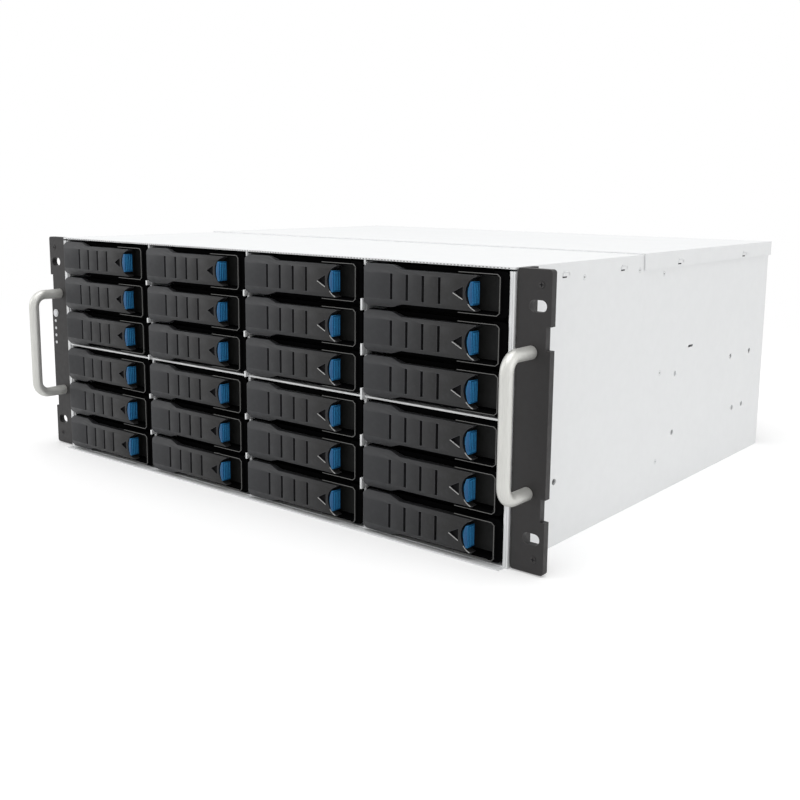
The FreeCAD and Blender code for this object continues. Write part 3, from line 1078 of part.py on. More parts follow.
def make_lever():
    """The tray lever: full height at its hinge, a slotted neck and a round bite for the button."""
    body = document.addObject("PartDesign::Body", "lever_body")
    full = (f"{TRAY_MIDDLE} - lever_full", f"{TRAY_MIDDLE} + lever_full")
    neck = (f"{TRAY_MIDDLE} - lever_neck", f"{TRAY_MIDDLE} + lever_neck")
    outline = [("lever_hinge", full[0]), ("neck_start", full[0]), ("neck_end", neck[0]),
               ("lever_tip", neck[0]), ("lever_tip", neck[1]), ("neck_end", neck[1]),
               ("neck_start", full[1]), ("lever_hinge", full[1])]
    pad = extrude(body, "PartDesign::Pad", "lever_pad", "xz", ("-lever_front", "-lever_back"), [outline])
    document.recompute()
    bends = edges_at(pad, "y", [value("neck_start"), value("neck_end")], None)
    bent = round_edges(body, "lever_bends", pad, bends, "neck_curve")
    corners = edges_at(bent, "y", [value("lever_hinge")], None)
    round_edges(body, "lever_corners", bent, corners, "lever_corner")
    flat = (f"{TRAY_MIDDLE} - lever_flat", f"{TRAY_MIDDLE} + lever_flat")
    outside = (f"{TRAY_MIDDLE} - lever_full - 1", f"{TRAY_MIDDLE} + lever_full + 1")
    slope = "-lever_front + lever_slope * (lever_full + 1 - lever_flat) / (lever_full - lever_flat)"
    flanks = [[("-lever_front - 1", flat[side]), ("-lever_front", flat[side]), (slope, outside[side]),
               ("-lever_front - 1", outside[side])] for side in (0, 1)]
    extrude(body, "PartDesign::Pocket", "lever_flanks", "yz", ("-1", "lever_tip + 1"), flanks)
    slots = [rectangle((f"slot_first + {number} * slot_step - slot_width / 2",
                        f"slot_first + {number} * slot_step + slot_width / 2"),
                       (f"{TRAY_MIDDLE} - slot_half", f"{TRAY_MIDDLE} + slot_half"))
             for number in range(LEVER_SLOTS)]
    through = ("-lever_front - 1", "1")
    extrude(body, "PartDesign::Pocket", "lever_slots", "xz", through, slots)
    arrow = [("arrow_tip", TRAY_MIDDLE), ("arrow_base", f"{TRAY_MIDDLE} - arrow_half"),
             ("arrow_base", f"{TRAY_MIDDLE} + arrow_half")]
    extrude(body, "PartDesign::Pocket", "lever_arrow", "xz",
            ("-lever_front - 1", "-lever_front + arrow_depth"), [arrow])
    extrude(body, "PartDesign::Pocket", "lever_bite", "xz", through, [],
            [(("bite_centre", TRAY_MIDDLE), "bite_radius")])
    room = rectangle(("stem_left - button_travel - stem_clear", "bite_centre"),
                     ("-stem_front - stem_clear", "-stem_back + stem_clear"))
    extrude(body, "PartDesign::Pocket", "stem_room", "xy",
            (f"{TRAY_MIDDLE} - stem_half - stem_clear", f"{TRAY_MIDDLE} + stem_half + stem_clear"), [room])
    lug_room = rectangle(("lever_hinge - 1", "pivot_inset + lug_radius + lug_clear"),
                         ("-pivot_depth - lug_radius - lug_clear", "1"))
    extrude(body, "PartDesign::Pocket", "lug_room", "xy",
            (f"{TRAY_MIDDLE} - lug_half - lug_clear", f"{TRAY_MIDDLE} + lug_half + lug_clear"), [lug_room])
    extrude(body, "PartDesign::Pocket", "pin_hole", "xy",
            (f"{TRAY_MIDDLE} - pin_half - tray_clear", f"{TRAY_MIDDLE} + pin_half + tray_clear"), [],
            [(("pivot_inset", "-pivot_depth"), "pin_radius + pin_play")])
    end_body = document.addObject("PartDesign::Body", "lever_end_body")
    end = extrude(end_body, "PartDesign::Pad", "lever_end_pad", "xy", outside,
                  [rectangle(("lever_hinge", "lever_tip + 1"), ("-lever_front", "-lever_back"))])
    document.recompute()
    hinge_end = edges_at(end, "z", [value("lever_hinge")], None)
    round_edges(end_body, "lever_hinge_end", end, hinge_end, "lever_end_curve")
    return common("lever", body, end_body)


def make_button():
    """The release button: a ridged thumb plate with a rounded back and a stem in the lever."""
    span = ("-button_front", "-button_back")
    height = (f"{TRAY_MIDDLE} - button_half", f"{TRAY_MIDDLE} + button_half")
    plate = block("button_plate", ("button_left", "button_face"), span, height)
    curve = rod("button_curve", "y", "button_radius", ("button_left + button_radius", TRAY_MIDDLE), span)
    thumb = common("button_thumb", plate, curve)
    stem = block("button_stem", ("stem_left", "button_left + 1"), ("-stem_front", "-stem_back"),
                 (f"{TRAY_MIDDLE} - stem_half", f"{TRAY_MIDDLE} + stem_half"))
    ridges = []
    for number in range(GRIP_RIDGES):
        y = f"(-button_front + ridge_first + {number} * ridge_step)"
        ridges.append(block(f"button_ridge{number}", ("button_face - 0.2", "button_face + ridge_rise"),
                            (y, f"{y} + ridge_width"), (f"{height[0]} + 1", f"{height[1]} - 1")))
    return fuse("button", thumb, stem, *ridges)


DRIVE_LEFT = "(column_pitch / 2 - drive_width / 2)"
DRIVE_RIGHT = "(column_pitch / 2 + drive_width / 2)"
DRIVE_LEVEL = "((bezel_height - drive_height) / 2)"


def stub_rods(name, radius, inward, outward):
    """Four rods at a drive's side holes, reaching into the drive and outward from it."""
    rods = []
    for number, place in enumerate(("stub_near", "stub_far")):
        centre = (f"drive_front + {place}", f"{DRIVE_LEVEL} + stub_level")
        left = (f"{DRIVE_LEFT} - ({outward})", f"{DRIVE_LEFT} + {inward}")
        right = (f"{DRIVE_RIGHT} - {inward}", f"{DRIVE_RIGHT} + ({outward})")
        rods.append(rod(f"{name}_left{number}", "x", radius, centre, left))
        rods.append(rod(f"{name}_right{number}", "x", radius, centre, right))
    return rods


def make_drive():
    """A 3.5-inch drive between the arms of its tray, held by the stubs in its side holes."""
    case = block("drive_case", (DRIVE_LEFT, DRIVE_RIGHT), ("drive_front", "drive_front + drive_length"),
                 (DRIVE_LEVEL, f"{DRIVE_LEVEL} + drive_height"))
    holes = stub_rods("side_hole", "stub_radius + stub_clear", "(stub_length + stub_clear)", "1")
    return cut("drive", case, group("side_holes", *holes))


def placed(name, row, column, *members):
    """Members of the tray, at the bay of this row and column."""
    item = group(name, *members)
    bind(item, "Placement.Base.x", column_left(column))
    bind(item, "Placement.Base.z", row_base(row))
    return item


def make_bays():
    """Twenty-four trays; in the top row the lever and its button are sub-parts of their own."""
    frame = make_tray_frame()
    lever = make_lever()
    button = make_button()
    drive = make_drive()
    pin = rod("lever_pin", "z", "pin_radius", ("pivot_inset", "-pivot_depth"),
              (f"{TRAY_MIDDLE} - pin_half", f"{TRAY_MIDDLE} + pin_half"))
    for row in range(1, ROWS + 1):
        for column in range(1, COLUMNS + 1):
            bay = f"r{row}c{column}"
            members = [frame, drive, pin] if row == 1 else [frame, drive, pin, lever, button]
            node(placed("tray_" + bay, row, column, *members), "drive_tray_" + bay)
            if row == 1:
                node(placed("lever_" + bay, row, column, lever), "tray_lever_" + bay)
                node(placed("button_" + bay, row, column, button), "release_button_" + bay)


def check_model():
    """Stop on any object that failed, and on any sub-part without a valid solid shape."""
    for item in document.Objects:
        if "Invalid" in item.State or "Error" in item.State:
            raise RuntimeError(f"{item.Name} failed: {item.State}")
    for item in NODES:
        if item.Shape.isNull() or not item.Shape.isValid() or not item.Shape.Solids:
            raise RuntimeError(f"{item.Label} has no valid solid")


make_chassis_tub()
make_top_covers()
make_rear_panel()
make_cage()
make_backplanes()
make_rear_deck()
make_fan_wall()
for supply in (1, 2):
    make_power_supply(supply)
make_canister()
make_ears()
make_handles_and_screws()
make_controls()
make_bays()
document.recompute()
check_model()
os.makedirs("parts", exist_ok=True)
for part in NODES:
    part.Shape.exportStep(f"parts/{part.Label}.step")
    print(f"{part.Label}: {len(part.Shape.Solids)} solids, {part.Shape.Volume:.0f} mm3")
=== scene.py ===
import math

import bmesh
import bpy
from mathutils import Matrix, Vector


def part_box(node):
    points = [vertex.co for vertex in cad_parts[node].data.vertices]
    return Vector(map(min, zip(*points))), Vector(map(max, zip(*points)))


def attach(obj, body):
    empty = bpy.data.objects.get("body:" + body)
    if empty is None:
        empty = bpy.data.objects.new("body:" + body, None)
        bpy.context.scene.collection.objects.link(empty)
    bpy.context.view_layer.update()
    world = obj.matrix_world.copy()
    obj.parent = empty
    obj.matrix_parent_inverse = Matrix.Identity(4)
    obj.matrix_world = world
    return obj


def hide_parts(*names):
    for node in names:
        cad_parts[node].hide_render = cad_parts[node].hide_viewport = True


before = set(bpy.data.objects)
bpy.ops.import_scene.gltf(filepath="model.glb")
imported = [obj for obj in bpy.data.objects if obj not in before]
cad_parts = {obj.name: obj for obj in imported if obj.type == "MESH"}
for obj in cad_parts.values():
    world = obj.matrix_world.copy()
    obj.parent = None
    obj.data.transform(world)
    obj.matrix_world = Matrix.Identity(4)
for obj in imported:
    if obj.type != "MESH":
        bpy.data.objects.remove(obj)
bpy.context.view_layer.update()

# Looks of the disk shelf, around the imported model. +X is right, +Y goes into the chassis, +Z is up.
# The part's sizes are in millimetres. MERGE_DISTANCE and the sizes of floor and lamps are in metres.
MM = 0.001
ROWS = 6
COLUMNS = 4

MERGE_DISTANCE = 1e-6
FLAT_ANGLE = math.radians(1.5)
SMOOTH_ANGLE = math.radians(35)
BEVEL_ANGLE = math.radians(40)


# ---------------------------------------------------------------- materials

NOISE_RANGE = (0.3, 0.7)
EDGE_RANGE = (0.995, 0.93)
ROLLING_LINES = (1.0, 0.05, 1.0)
TRACK_SCALE = 150
TRACK_GAP = 0.03


class Surface:
    """A Principled material whose colour, roughness and bump come from noise at real scales."""

    def __init__(self, name, roughness, metallic=0.0, specular=0.5):
        self.material = bpy.data.materials.new(name)
        self.material.use_nodes = True
        self.tree = self.material.node_tree
        self.shader = self.tree.nodes["Principled BSDF"]
        self.shader.inputs["Metallic"].default_value = metallic
        self.shader.inputs["Specular IOR Level"].default_value = specular
        self.roughness = roughness
        self.place = self.add("ShaderNodeTexCoord").outputs["Object"]
        self.bumped = None

    def add(self, kind, **settings):
        node = self.tree.nodes.new(kind)
        for key, setting in settings.items():
            setattr(node, key, setting)
        return node

    def link(self, source, target):
        self.tree.links.new(source, target)
        return target

    def noise(self, size, detail=3.0, stretch=None, roughness=0.5):
        """Noise with features of about this size in millimetres, drawn out along axes by stretch."""
        texture = self.add("ShaderNodeTexNoise")
        texture.inputs["Scale"].default_value = 1 / (size * MM)
        texture.inputs["Detail"].default_value = detail
        texture.inputs["Roughness"].default_value = roughness
        place = self.place
        if stretch:
            mapping = self.add("ShaderNodeMapping")
            mapping.inputs["Scale"].default_value = stretch
            self.link(place, mapping.inputs["Vector"])
            place = mapping.outputs["Vector"]
        self.link(place, texture.inputs["Vector"])
        return texture.outputs["Fac"]

    def spread(self, source, low, high, out_low=0.0, out_high=1.0):
        """The source's stretch from low to high mapped to another range."""
        ranges = self.add("ShaderNodeMapRange")
        for socket, number in (("From Min", low), ("From Max", high),
                               ("To Min", out_low), ("To Max", out_high)):
            ranges.inputs[socket].default_value = number
        self.link(source, ranges.inputs["Value"])
        return ranges.outputs["Result"]

    def blend(self, factor, first, second):
        """Two colours, or a colour and a colour socket, mixed by a factor."""
        mix = self.add("ShaderNodeMix", data_type="RGBA")
        self.link(factor, mix.inputs["Factor"])
        for socket, colour in ((mix.inputs["A"], first), (mix.inputs["B"], second)):
            if isinstance(colour, bpy.types.NodeSocket):
                self.link(colour, socket)
            else:
                socket.default_value = (*colour, 1.0)
        return mix.outputs["Result"]

    def bump(self, height, distance, strength=1.0):
        """A bump of this height in millimetres on top of those before it."""
        node = self.add("ShaderNodeBump")
        node.inputs["Distance"].default_value = distance * MM
        node.inputs["Strength"].default_value = strength
        self.link(height, node.inputs["Height"])
        if self.bumped:
            self.link(self.bumped, node.inputs["Normal"])
        self.bumped = node.outputs["Normal"]

    def edge(self, radius):
        """1 on edges that a bevel of this radius in millimetres would round, 0 on flats."""
        bevel = self.add("ShaderNodeBevel", samples=4)
        bevel.inputs["Radius"].default_value = radius * MM
        geometry = self.add("ShaderNodeNewGeometry")
        product = self.add("ShaderNodeVectorMath", operation="DOT_PRODUCT")
        self.link(bevel.outputs["Normal"], product.inputs[0])
        self.link(geometry.outputs["Normal"], product.inputs[1])
        return self.spread(product.outputs["Value"], *EDGE_RANGE)

    def finish(self, colour, rough_noise, rough_change):
        """Join the colour, the roughness variation and the bumps to the shader."""
        if isinstance(colour, bpy.types.NodeSocket):
            self.link(colour, self.shader.inputs["Base Color"])
        else:
            self.shader.inputs["Base Color"].default_value = (*colour, 1.0)
        rough = self.spread(rough_noise, *NOISE_RANGE, self.roughness - rough_change,
                            self.roughness + rough_change)
        self.link(rough, self.shader.inputs["Roughness"])
        if self.bumped:
            self.link(self.bumped, self.shader.inputs["Normal"])
        return self.material


def shade(colour, factor):
    return tuple(min(1.0, part * factor) for part in colour)


def moulded(name, colour, roughness, specular, grain=0.22, depth=0.02, worn=1.35):
    """Moulded plastic: fine spark grain, slight clouding, scattered patches rubbed a little lighter.
    """
    made = Surface(name, roughness, specular=specular)
    clouds = made.noise(18, 4)
    tone = made.blend(made.spread(clouds, *NOISE_RANGE), shade(colour, 0.9), shade(colour, 1.1))
    rubbed = made.noise(3, 5)
    tone = made.blend(made.spread(rubbed, 0.45, 0.75, 0.0, 0.5), tone, shade(colour, worn))
    made.bump(made.noise(grain, 2), depth)
    return made.finish(tone, made.noise(5, 4), 0.05)


def lever_plastic(name, near, far, low, high):
    """Lever plastic with painted light: painted lighter at the hinge end and darker towards the
    button, with a painted highlight on its rounded edges.
    """
    made = Surface(name, 0.47, specular=0.26)
    parts = made.add("ShaderNodeSeparateXYZ")
    made.link(made.place, parts.inputs["Vector"])
    # painted light: the lit near colour at the low X end fading to the shaded far colour at the high
    # X end
    along = made.spread(parts.outputs["X"], low * MM, high * MM)
    tone = made.blend(along, near, far)
    clouds = made.noise(16, 4)
    tone = made.blend(made.spread(clouds, *NOISE_RANGE, 0.0, 0.35), tone, shade(near, 0.8))
    rubbed = made.noise(3, 5)
    tone = made.blend(made.spread(rubbed, 0.45, 0.75, 0.0, 0.25), tone, shade(near, 1.3))
    # painted highlight on the rounded edges
    tone = made.blend(made.edge(0.45), tone, shade(near, 2.3))
    made.bump(made.noise(0.25, 2), 0.022)
    return made.finish(tone, made.noise(5, 4), 0.06)


def glossy_black(name, colour, edge_highlight_colour, roughness, specular):
    """Smooth black plastic with a painted highlight on its rounded edges."""
    made = Surface(name, roughness, specular=specular)
    clouds = made.noise(12, 4)
    tone = made.blend(made.spread(clouds, *NOISE_RANGE), shade(colour, 0.8), shade(colour, 1.3))
    # painted highlight on the rounded edges
    tone = made.blend(made.edge(0.4), tone, edge_highlight_colour)
    made.bump(made.noise(0.4, 2), 0.01)
    return made.finish(tone, made.noise(6, 4), 0.05)


def sheet_steel(name, colour, roughness, metallic):
    """Zinc-plated or painted sheet: faint spangle, rolling marks and fingerprints."""
    made = Surface(name, roughness, metallic=metallic)
    spangle = made.noise(6, 3)
    tone = made.blend(made.spread(spangle, 0.35, 0.65), shade(colour, 0.99), shade(colour, 1.006))
    handled = made.noise(45, 6, roughness=0.65)
    tone = made.blend(made.spread(handled, 0.5, 0.8, 0.0, 0.5), tone, shade(colour, 0.975))
    lines = made.noise(0.6, 2, stretch=ROLLING_LINES)
    made.bump(lines, 0.006)
    made.bump(made.noise(60, 2), 0.05, 0.3)
    return made.finish(tone, made.noise(25, 5), 0.05)


def powder_coat(name, colour, roughness):
    """Powder coat: orange-peel texture, edges painted lighter, partly as rubbed wear and partly as a
    painted highlight.
    """
    made = Surface(name, roughness, specular=0.4)
    clouds = made.noise(25, 4)
    tone = made.blend(made.spread(clouds, *NOISE_RANGE), shade(colour, 0.92), shade(colour, 1.1))
    # edges painted lighter: partly rubbed wear, partly painted highlight
    tone = made.blend(made.edge(0.5), tone, shade(colour, 2.2))
    made.bump(made.noise(0.7, 3), 0.03)
    return made.finish(tone, made.noise(4, 4), 0.06)


def brushed(name, colour, roughness, stretch=(1.0, 1.0, 0.06), metallic=0.9):
    """Satin metal with fine drawn lines."""
    made = Surface(name, roughness, metallic=metallic)
    lines = made.noise(0.5, 3, stretch=stretch)
    tone = made.blend(made.spread(lines, *NOISE_RANGE), shade(colour, 0.94), shade(colour, 1.04))
    made.bump(lines, 0.008)
    return made.finish(tone, made.noise(9, 4), 0.06)


def circuit(name, colour):
    """Solder mask over copper tracks."""
    made = Surface(name, 0.35, specular=0.5)
    tracks = made.add("ShaderNodeTexBrick")
    tracks.inputs["Scale"].default_value = TRACK_SCALE
    tracks.inputs["Mortar Size"].default_value = TRACK_GAP
    made.link(made.place, tracks.inputs["Vector"])
    tone = made.blend(tracks.outputs["Fac"], colour, shade(colour, 1.8))
    made.bump(made.noise(1.5, 3), 0.02)
    return made.finish(tone, made.noise(8, 3), 0.06)


WHITE_STEEL = sheet_steel("white_steel", (0.83, 0.84, 0.845), 0.46, 0.15)
INNER_STEEL = sheet_steel("inner_steel", (0.66, 0.67, 0.68), 0.38, 0.7)
EAR_BLACK = powder_coat("ear_black", (0.0165, 0.0152, 0.0155), 0.5)
# painted highlight: bezel black with lighter rounded edges
BEZEL_BLACK = glossy_black("bezel_black", (0.004, 0.004, 0.0042),
                           (0.12, 0.118, 0.115), 0.42, 0.12)
# painted shade: a duller, slightly darker copy of the bezel black, with no edge highlight and no
# sheen, for the plate and the channels between rows
CHANNEL_BLACK = moulded("channel_black", (0.0030, 0.0030, 0.0032), 0.62, 0.0)
RECESS_BLACK = moulded("recess_black", (0.021, 0.0215, 0.021), 0.5, 0.2)
# painted highlight: pale grey for the bars along the raised frame's edge
RIM_PAINTED_HIGHLIGHT = glossy_black("rim_painted_highlight", (0.11, 0.108, 0.105),
                        (0.16, 0.16, 0.155), 0.4, 0.3)
RELEASE_BLUE = moulded("release_blue", (0.009, 0.105, 0.25), 0.34, 0.5, worn=1.45)
# painted highlight: pale grey for the bars along the lever's arrow and bite
EDGE_PAINTED_HIGHLIGHT = glossy_black("edge_painted_highlight", (0.42, 0.42, 0.41), (0.6, 0.6, 0.59), 0.3, 0.5)
HANDLE_SATIN = brushed("handle_satin", (0.66, 0.66, 0.63), 0.42, metallic=0.55)
SCREW_STEEL = brushed("screw_steel", (0.045, 0.043, 0.043), 0.45,
                      stretch=(1.0, 1.0, 1.0), metallic=0.5)
BRIGHT_STEEL = brushed("bright_steel", (0.62, 0.63, 0.65), 0.3)
DRIVE_CAST = moulded("drive_cast", (0.0075, 0.0075, 0.008), 0.6, 0.08, grain=0.8, depth=0.05)
DRIVE_LID = brushed("drive_lid", (0.46, 0.47, 0.49), 0.38,
                    stretch=(1.0, 0.08, 1.0), metallic=0.85)
FAN_BLACK = moulded("fan_black", (0.014, 0.014, 0.015), 0.42, 0.4)
BOARD_GREEN = circuit("board_green", (0.012, 0.075, 0.030))
CONNECTOR_BLACK = moulded("connector_black", (0.01, 0.01, 0.011), 0.4, 0.4)
MODULE_METAL = sheet_steel("module_metal", (0.60, 0.61, 0.62), 0.36, 0.8)
LAMP_CLEAR = moulded("lamp_clear", (0.82, 0.83, 0.84), 0.25, 0.5, depth=0.005, worn=1.0)
LAMP_GREEN = moulded("lamp_green", (0.05, 0.42, 0.10), 0.25, 0.5, depth=0.005, worn=1.0)
# painted shade: near-black for the insides of holes, slits, slots, screw crosses and the lever's
# arrow recess
HOLLOW_SHADE = moulded("hollow_shade", (0.008, 0.008, 0.009), 0.7, 0.1)
# painted shade: grey for the pits of the dimples and the gaps along the cover's lip
PIT_AND_GAP_SHADE = moulded("pit_and_gap_shade", (0.16, 0.16, 0.165), 0.6, 0.2)


# ---------------------------------------------------------------- mesh tools

def finish_mesh(mesh):
    """Smooth shading, with sharp edges past SMOOTH_ANGLE."""
    for polygon in mesh.polygons:
        polygon.use_smooth = True
    mesh.set_sharp_from_angle(angle=SMOOTH_ANGLE)
    return mesh


def solids_of(node):
    """The separate solids of a CAD node as new meshes, largest first."""
    whole = bmesh.new()
    whole.from_mesh(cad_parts[node].data)
    bmesh.ops.remove_doubles(whole, verts=whole.verts, dist=MERGE_DISTANCE)
    whole.faces.ensure_lookup_table()
    seen = set()
    groups = []
    for start in whole.faces:
        if start.index in seen:
            continue
        island, front = [], [start]
        seen.add(start.index)
        while front:
            face = front.pop()
            island.append(face.index)
            for edge in face.edges:
                for other in edge.link_faces:
                    if other.index not in seen:
                        seen.add(other.index)
                        front.append(other)
        groups.append(island)
    meshes = []
    for number, island in enumerate(groups):
        part = bmesh.new()
        places = {}
        for index in island:
            corners = []
            for vertex in whole.faces[index].verts:
                if vertex.index not in places:
                    places[vertex.index] = part.verts.new(vertex.co)
                corners.append(places[vertex.index])
            part.faces.new(corners)
        mesh = bpy.data.meshes.new(f"{node}_solid{number}")
        part.to_mesh(mesh)
        part.free()
        meshes.append(mesh)
    whole.free()
    return sorted(meshes, key=volume_box, reverse=True)


def volume_box(mesh):
    """The volume of the mesh's box."""
    low, high = mesh_box(mesh)
    size = high - low
    return size.x * size.y * size.z


def mesh_box(mesh):
    """The low and high corners of the mesh's box."""
    low = Vector(min(v.co[axis] for v in mesh.vertices) for axis in range(3))
    high = Vector(max(v.co[axis] for v in mesh.vertices) for axis in range(3))
    return low, high


def softened(mesh, width, segments=2):
    """The mesh with flat faces merged and its edges rounded by a width in millimetres."""
    work = bmesh.new()
    work.from_mesh(mesh)
    bmesh.ops.remove_doubles(work, verts=work.verts, dist=MERGE_DISTANCE)
    bmesh.ops.dissolve_limit(work, angle_limit=FLAT_ANGLE, verts=work.verts, edges=work.edges)
    work.to_mesh(mesh)
    work.free()
    holder = bpy.data.objects.new("softened", mesh)
    bpy.context.scene.collection.objects.link(holder)
    bevel = holder.modifiers.new("bevel", "BEVEL")
    bevel.width = width * MM
    bevel.segments = segments
    bevel.limit_method = "ANGLE"
    bevel.angle_limit = BEVEL_ANGLE
    bevel.use_clamp_overlap = True
    depsgraph = bpy.context.evaluated_depsgraph_get()
    made = bpy.data.meshes.new_from_object(holder.evaluated_get(depsgraph))
    bpy.data.objects.remove(holder)
    return finish_mesh(made)


def joined(name, parts):
    """One mesh from (mesh, material) pairs, each keeping its material."""
    whole = bpy.data.meshes.new(name)
    work = bmesh.new()
    for slot, (mesh, material) in enumerate(parts):
        whole.materials.append(material)
        start = len(work.faces)
        work.from_mesh(mesh)
        work.faces.ensure_lookup_table()
        for face in work.faces[start:]:
            face.material_index = slot
    work.to_mesh(whole)
    work.free()
    return finish_mesh(whole)


def piece(name, mesh, body, offset=(0, 0, 0), material=None):
    """A named piece that rides on a body; material is for a mesh that has none yet."""
    made = bpy.data.objects.new(name, mesh)
    bpy.context.scene.collection.objects.link(made)
    if material and not mesh.materials:
        mesh.materials.append(material)
    made.location = offset
    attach(made, body)
    return made


class Builder:
    """Simple solids gathered into one mesh, in millimetres."""

    def __init__(self):
        self.work = bmesh.new()

    def box(self, low, high):
        """A box between two corners."""
        centre = [(a + b) / 2 * MM for a, b in zip(low, high)]
        size = [(b - a) * MM for a, b in zip(low, high)]
        matrix = Matrix.Translation(centre) @ Matrix.Diagonal((*size, 1.0))
        bmesh.ops.create_cube(self.work, size=1.0, matrix=matrix)
        return self

    def disc(self, centre, axis, radius, length, segments=32):
        """A cylinder about X, Y or Z, which starts at the centre and runs up the axis."""
        turn = {"x": Matrix.Rotation(math.pi / 2, 4, "Y"),
                "y": Matrix.Rotation(-math.pi / 2, 4, "X"),
                "z": Matrix.Identity(4)}[axis]
        place = Vector(centre) * MM
        place["xyz".index(axis)] += length / 2 * MM
        bmesh.ops.create_cone(self.work, cap_ends=True, segments=segments, radius1=radius * MM,
                              radius2=radius * MM, depth=length * MM,
                              matrix=Matrix.Translation(place) @ turn)
        return self

    def ring(self, centre, axis, radius, thickness, segments=48, sides=8):
        """A round wire ring about an axis."""
        others = [letter for letter in "xyz" if letter != axis]
        loops = []
        for turn in range(segments):
            angle = 2 * math.pi * turn / segments
            loop = []
            for side in range(sides):
                lean = 2 * math.pi * side / sides
                reach = radius + thickness * math.cos(lean)
                point = Vector(centre)
                point["xyz".index(others[0])] += reach * math.cos(angle)
                point["xyz".index(others[1])] += reach * math.sin(angle)
                point["xyz".index(axis)] += thickness * math.sin(lean)
                loop.append(self.work.verts.new(point * MM))
            loops.append(loop)
        for turn in range(segments):
            here, after = loops[turn], loops[(turn + 1) % segments]
            for side in range(sides):
                self.work.faces.new((here[side], here[(side + 1) % sides],
                                     after[(side + 1) % sides], after[side]))
        return self

    def bar(self, start, end, width):
        """A straight bar of square section between two points."""
        start, end = Vector(start) * MM, Vector(end) * MM
        turn = (end - start).to_track_quat("Z", "Y").to_matrix().to_4x4()
        size = Matrix.Diagonal((width * MM, width * MM, (end - start).length, 1.0))
        matrix = Matrix.Translation((start + end) / 2) @ turn @ size
        bmesh.ops.create_cube(self.work, size=1.0, matrix=matrix)
        return self

    def mesh(self, name, width=0.0):
        """The gathered solids as one mesh, with edges rounded by a width if one is given."""
        bmesh.ops.recalc_face_normals(self.work, faces=self.work.faces)
        made = bpy.data.meshes.new(name)
        self.work.to_mesh(made)
        self.work.free()
        return softened(made, width) if width else finish_mesh(made)


# ---------------------------------------------------------------- CAD nodes that stay

def dress(node, material, choose=None, others=()):
    """A CAD node keeps its shape and gets materials; choose picks a solid's slot from its box."""
    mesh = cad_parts[node].data
    mesh.materials.clear()
    for each in (material, *others):
        mesh.materials.append(each)
    if choose is None:
        return
    for island, low, high in islands(mesh):
        slot = choose(low / MM, high / MM)
        for index in island:
            mesh.polygons[index].material_index = slot


def islands(mesh):
    """The faces of each separate solid of a mesh, with the corners of its box."""
    work = bmesh.new()
    work.from_mesh(mesh)
    work.faces.ensure_lookup_table()
    places = {}
    for vertex in work.verts:
        places.setdefault(tuple(round(part, 6) for part in vertex.co), []).append(vertex)
    seen = set()
    found = []
    for start in work.faces:
        if start.index in seen:
            continue
        island, front = [], [start]
        seen.add(start.index)
        low, high = start.verts[0].co.copy(), start.verts[0].co.copy()
        while front:
            face = front.pop()
            island.append(face.index)
            for corner in face.verts:
                low = Vector(map(min, low, corner.co))
                high = Vector(map(max, high, corner.co))
                for twin in places[tuple(round(part, 6) for part in corner.co)]:
                    for other in twin.link_faces:
                        if other.index not in seen:
                            seen.add(other.index)
                            front.append(other)
        found.append((island, low, high))
    work.free()
    return found


PLAIN_NODES = (
    (WHITE_STEEL, ("chassis_tub", "front_top_cover", "rear_top_cover", "rear_panel", "mid_shelf",
                   "column_divider_left", "column_divider_center", "column_divider_right",
                   "tray_side_rails")),
    (INNER_STEEL, ("rear_deck", "fan_bracket")),
    (FAN_BLACK, ("fan_housings", "fan_rotor_left", "fan_rotor_center", "fan_rotor_right")),
    (CONNECTOR_BLACK, ("canister_lever",)),
    (HANDLE_SATIN, ("front_handles",)),
    (SCREW_STEEL, ("ear_screws",)),
    (BRIGHT_STEEL, ("power_button",)),
    (EAR_BLACK, ("ear_left", "ear_right")),
    (RELEASE_BLUE, ("psu_catch_1", "psu_catch_2")),
)
BOARD_THICKNESS = 2.0
CANISTER_BOARD_HEIGHT = 3.0
LIGHT_PIPE_FRONT = 4.0
SUPPLY_CASE_WIDTH = 40.0


def dress_nodes():
    """Materials for the CAD nodes that are shown as they are."""
    for material, nodes in PLAIN_NODES:
        for node in nodes:
            dress(node, material)
    dress("backplane_boards", BOARD_GREEN,
          lambda low, high: int(min(high - low) > BOARD_THICKNESS), (CONNECTOR_BLACK,))
    dress("expander_canister", MODULE_METAL,
          lambda low, high: int(high.z - low.z < CANISTER_BOARD_HEIGHT), (BOARD_GREEN,))
    dress("control_panel", CONNECTOR_BLACK,
          lambda low, high: int(low.y < LIGHT_PIPE_FRONT), (LAMP_CLEAR,))
    for number in (1, 2):
        dress(f"power_supply_{number}", MODULE_METAL,
              lambda low, high: int(high.x - low.x < SUPPLY_CASE_WIDTH), (CONNECTOR_BLACK,))


dress_nodes()


# ---------------------------------------------------------------- drive trays

# Places in the top left bay: its middle level, then the raised frame round the finger recess, the
# recess, and the lever's arrow and round bite.
BAY_LEVEL = 159.35
RIM_LEFT, RIM_TURN, RIM_RIGHT = -140.0, -113.3, -111.4
RIM_HALF, RIM_CORNER = 11.7, 1.6
RIM_FACE = -5.3
RIM_WIDTH, RIM_END_WIDTH = 0.36, 0.42
RECESS_X, RECESS_Z, RECESS_FRONT = (-135.3, -112.4), (148.7, 170.0), -3.4
PLATE_FRONT = -3.8
ARROW_X, ARROW_Y, ARROW_HALF = (-142.6, -135.2), (-6.9, -5.2), 3.8
ARROW_SHINE_END, ARROW_SHINE_DROPS = -135.7, (0.5, 3.9)
BITE_X, BITE_Y, BITE_RADIUS = -123.7, -6.85, 10.3
BITE_TURNS = range(218, 250, 8)
LID_LEVEL = 172.5

# Slots of the tray's materials after those of its bezel, drive and pin.
CHANNEL_INDEX = 3
RECESS_INDEX = 4


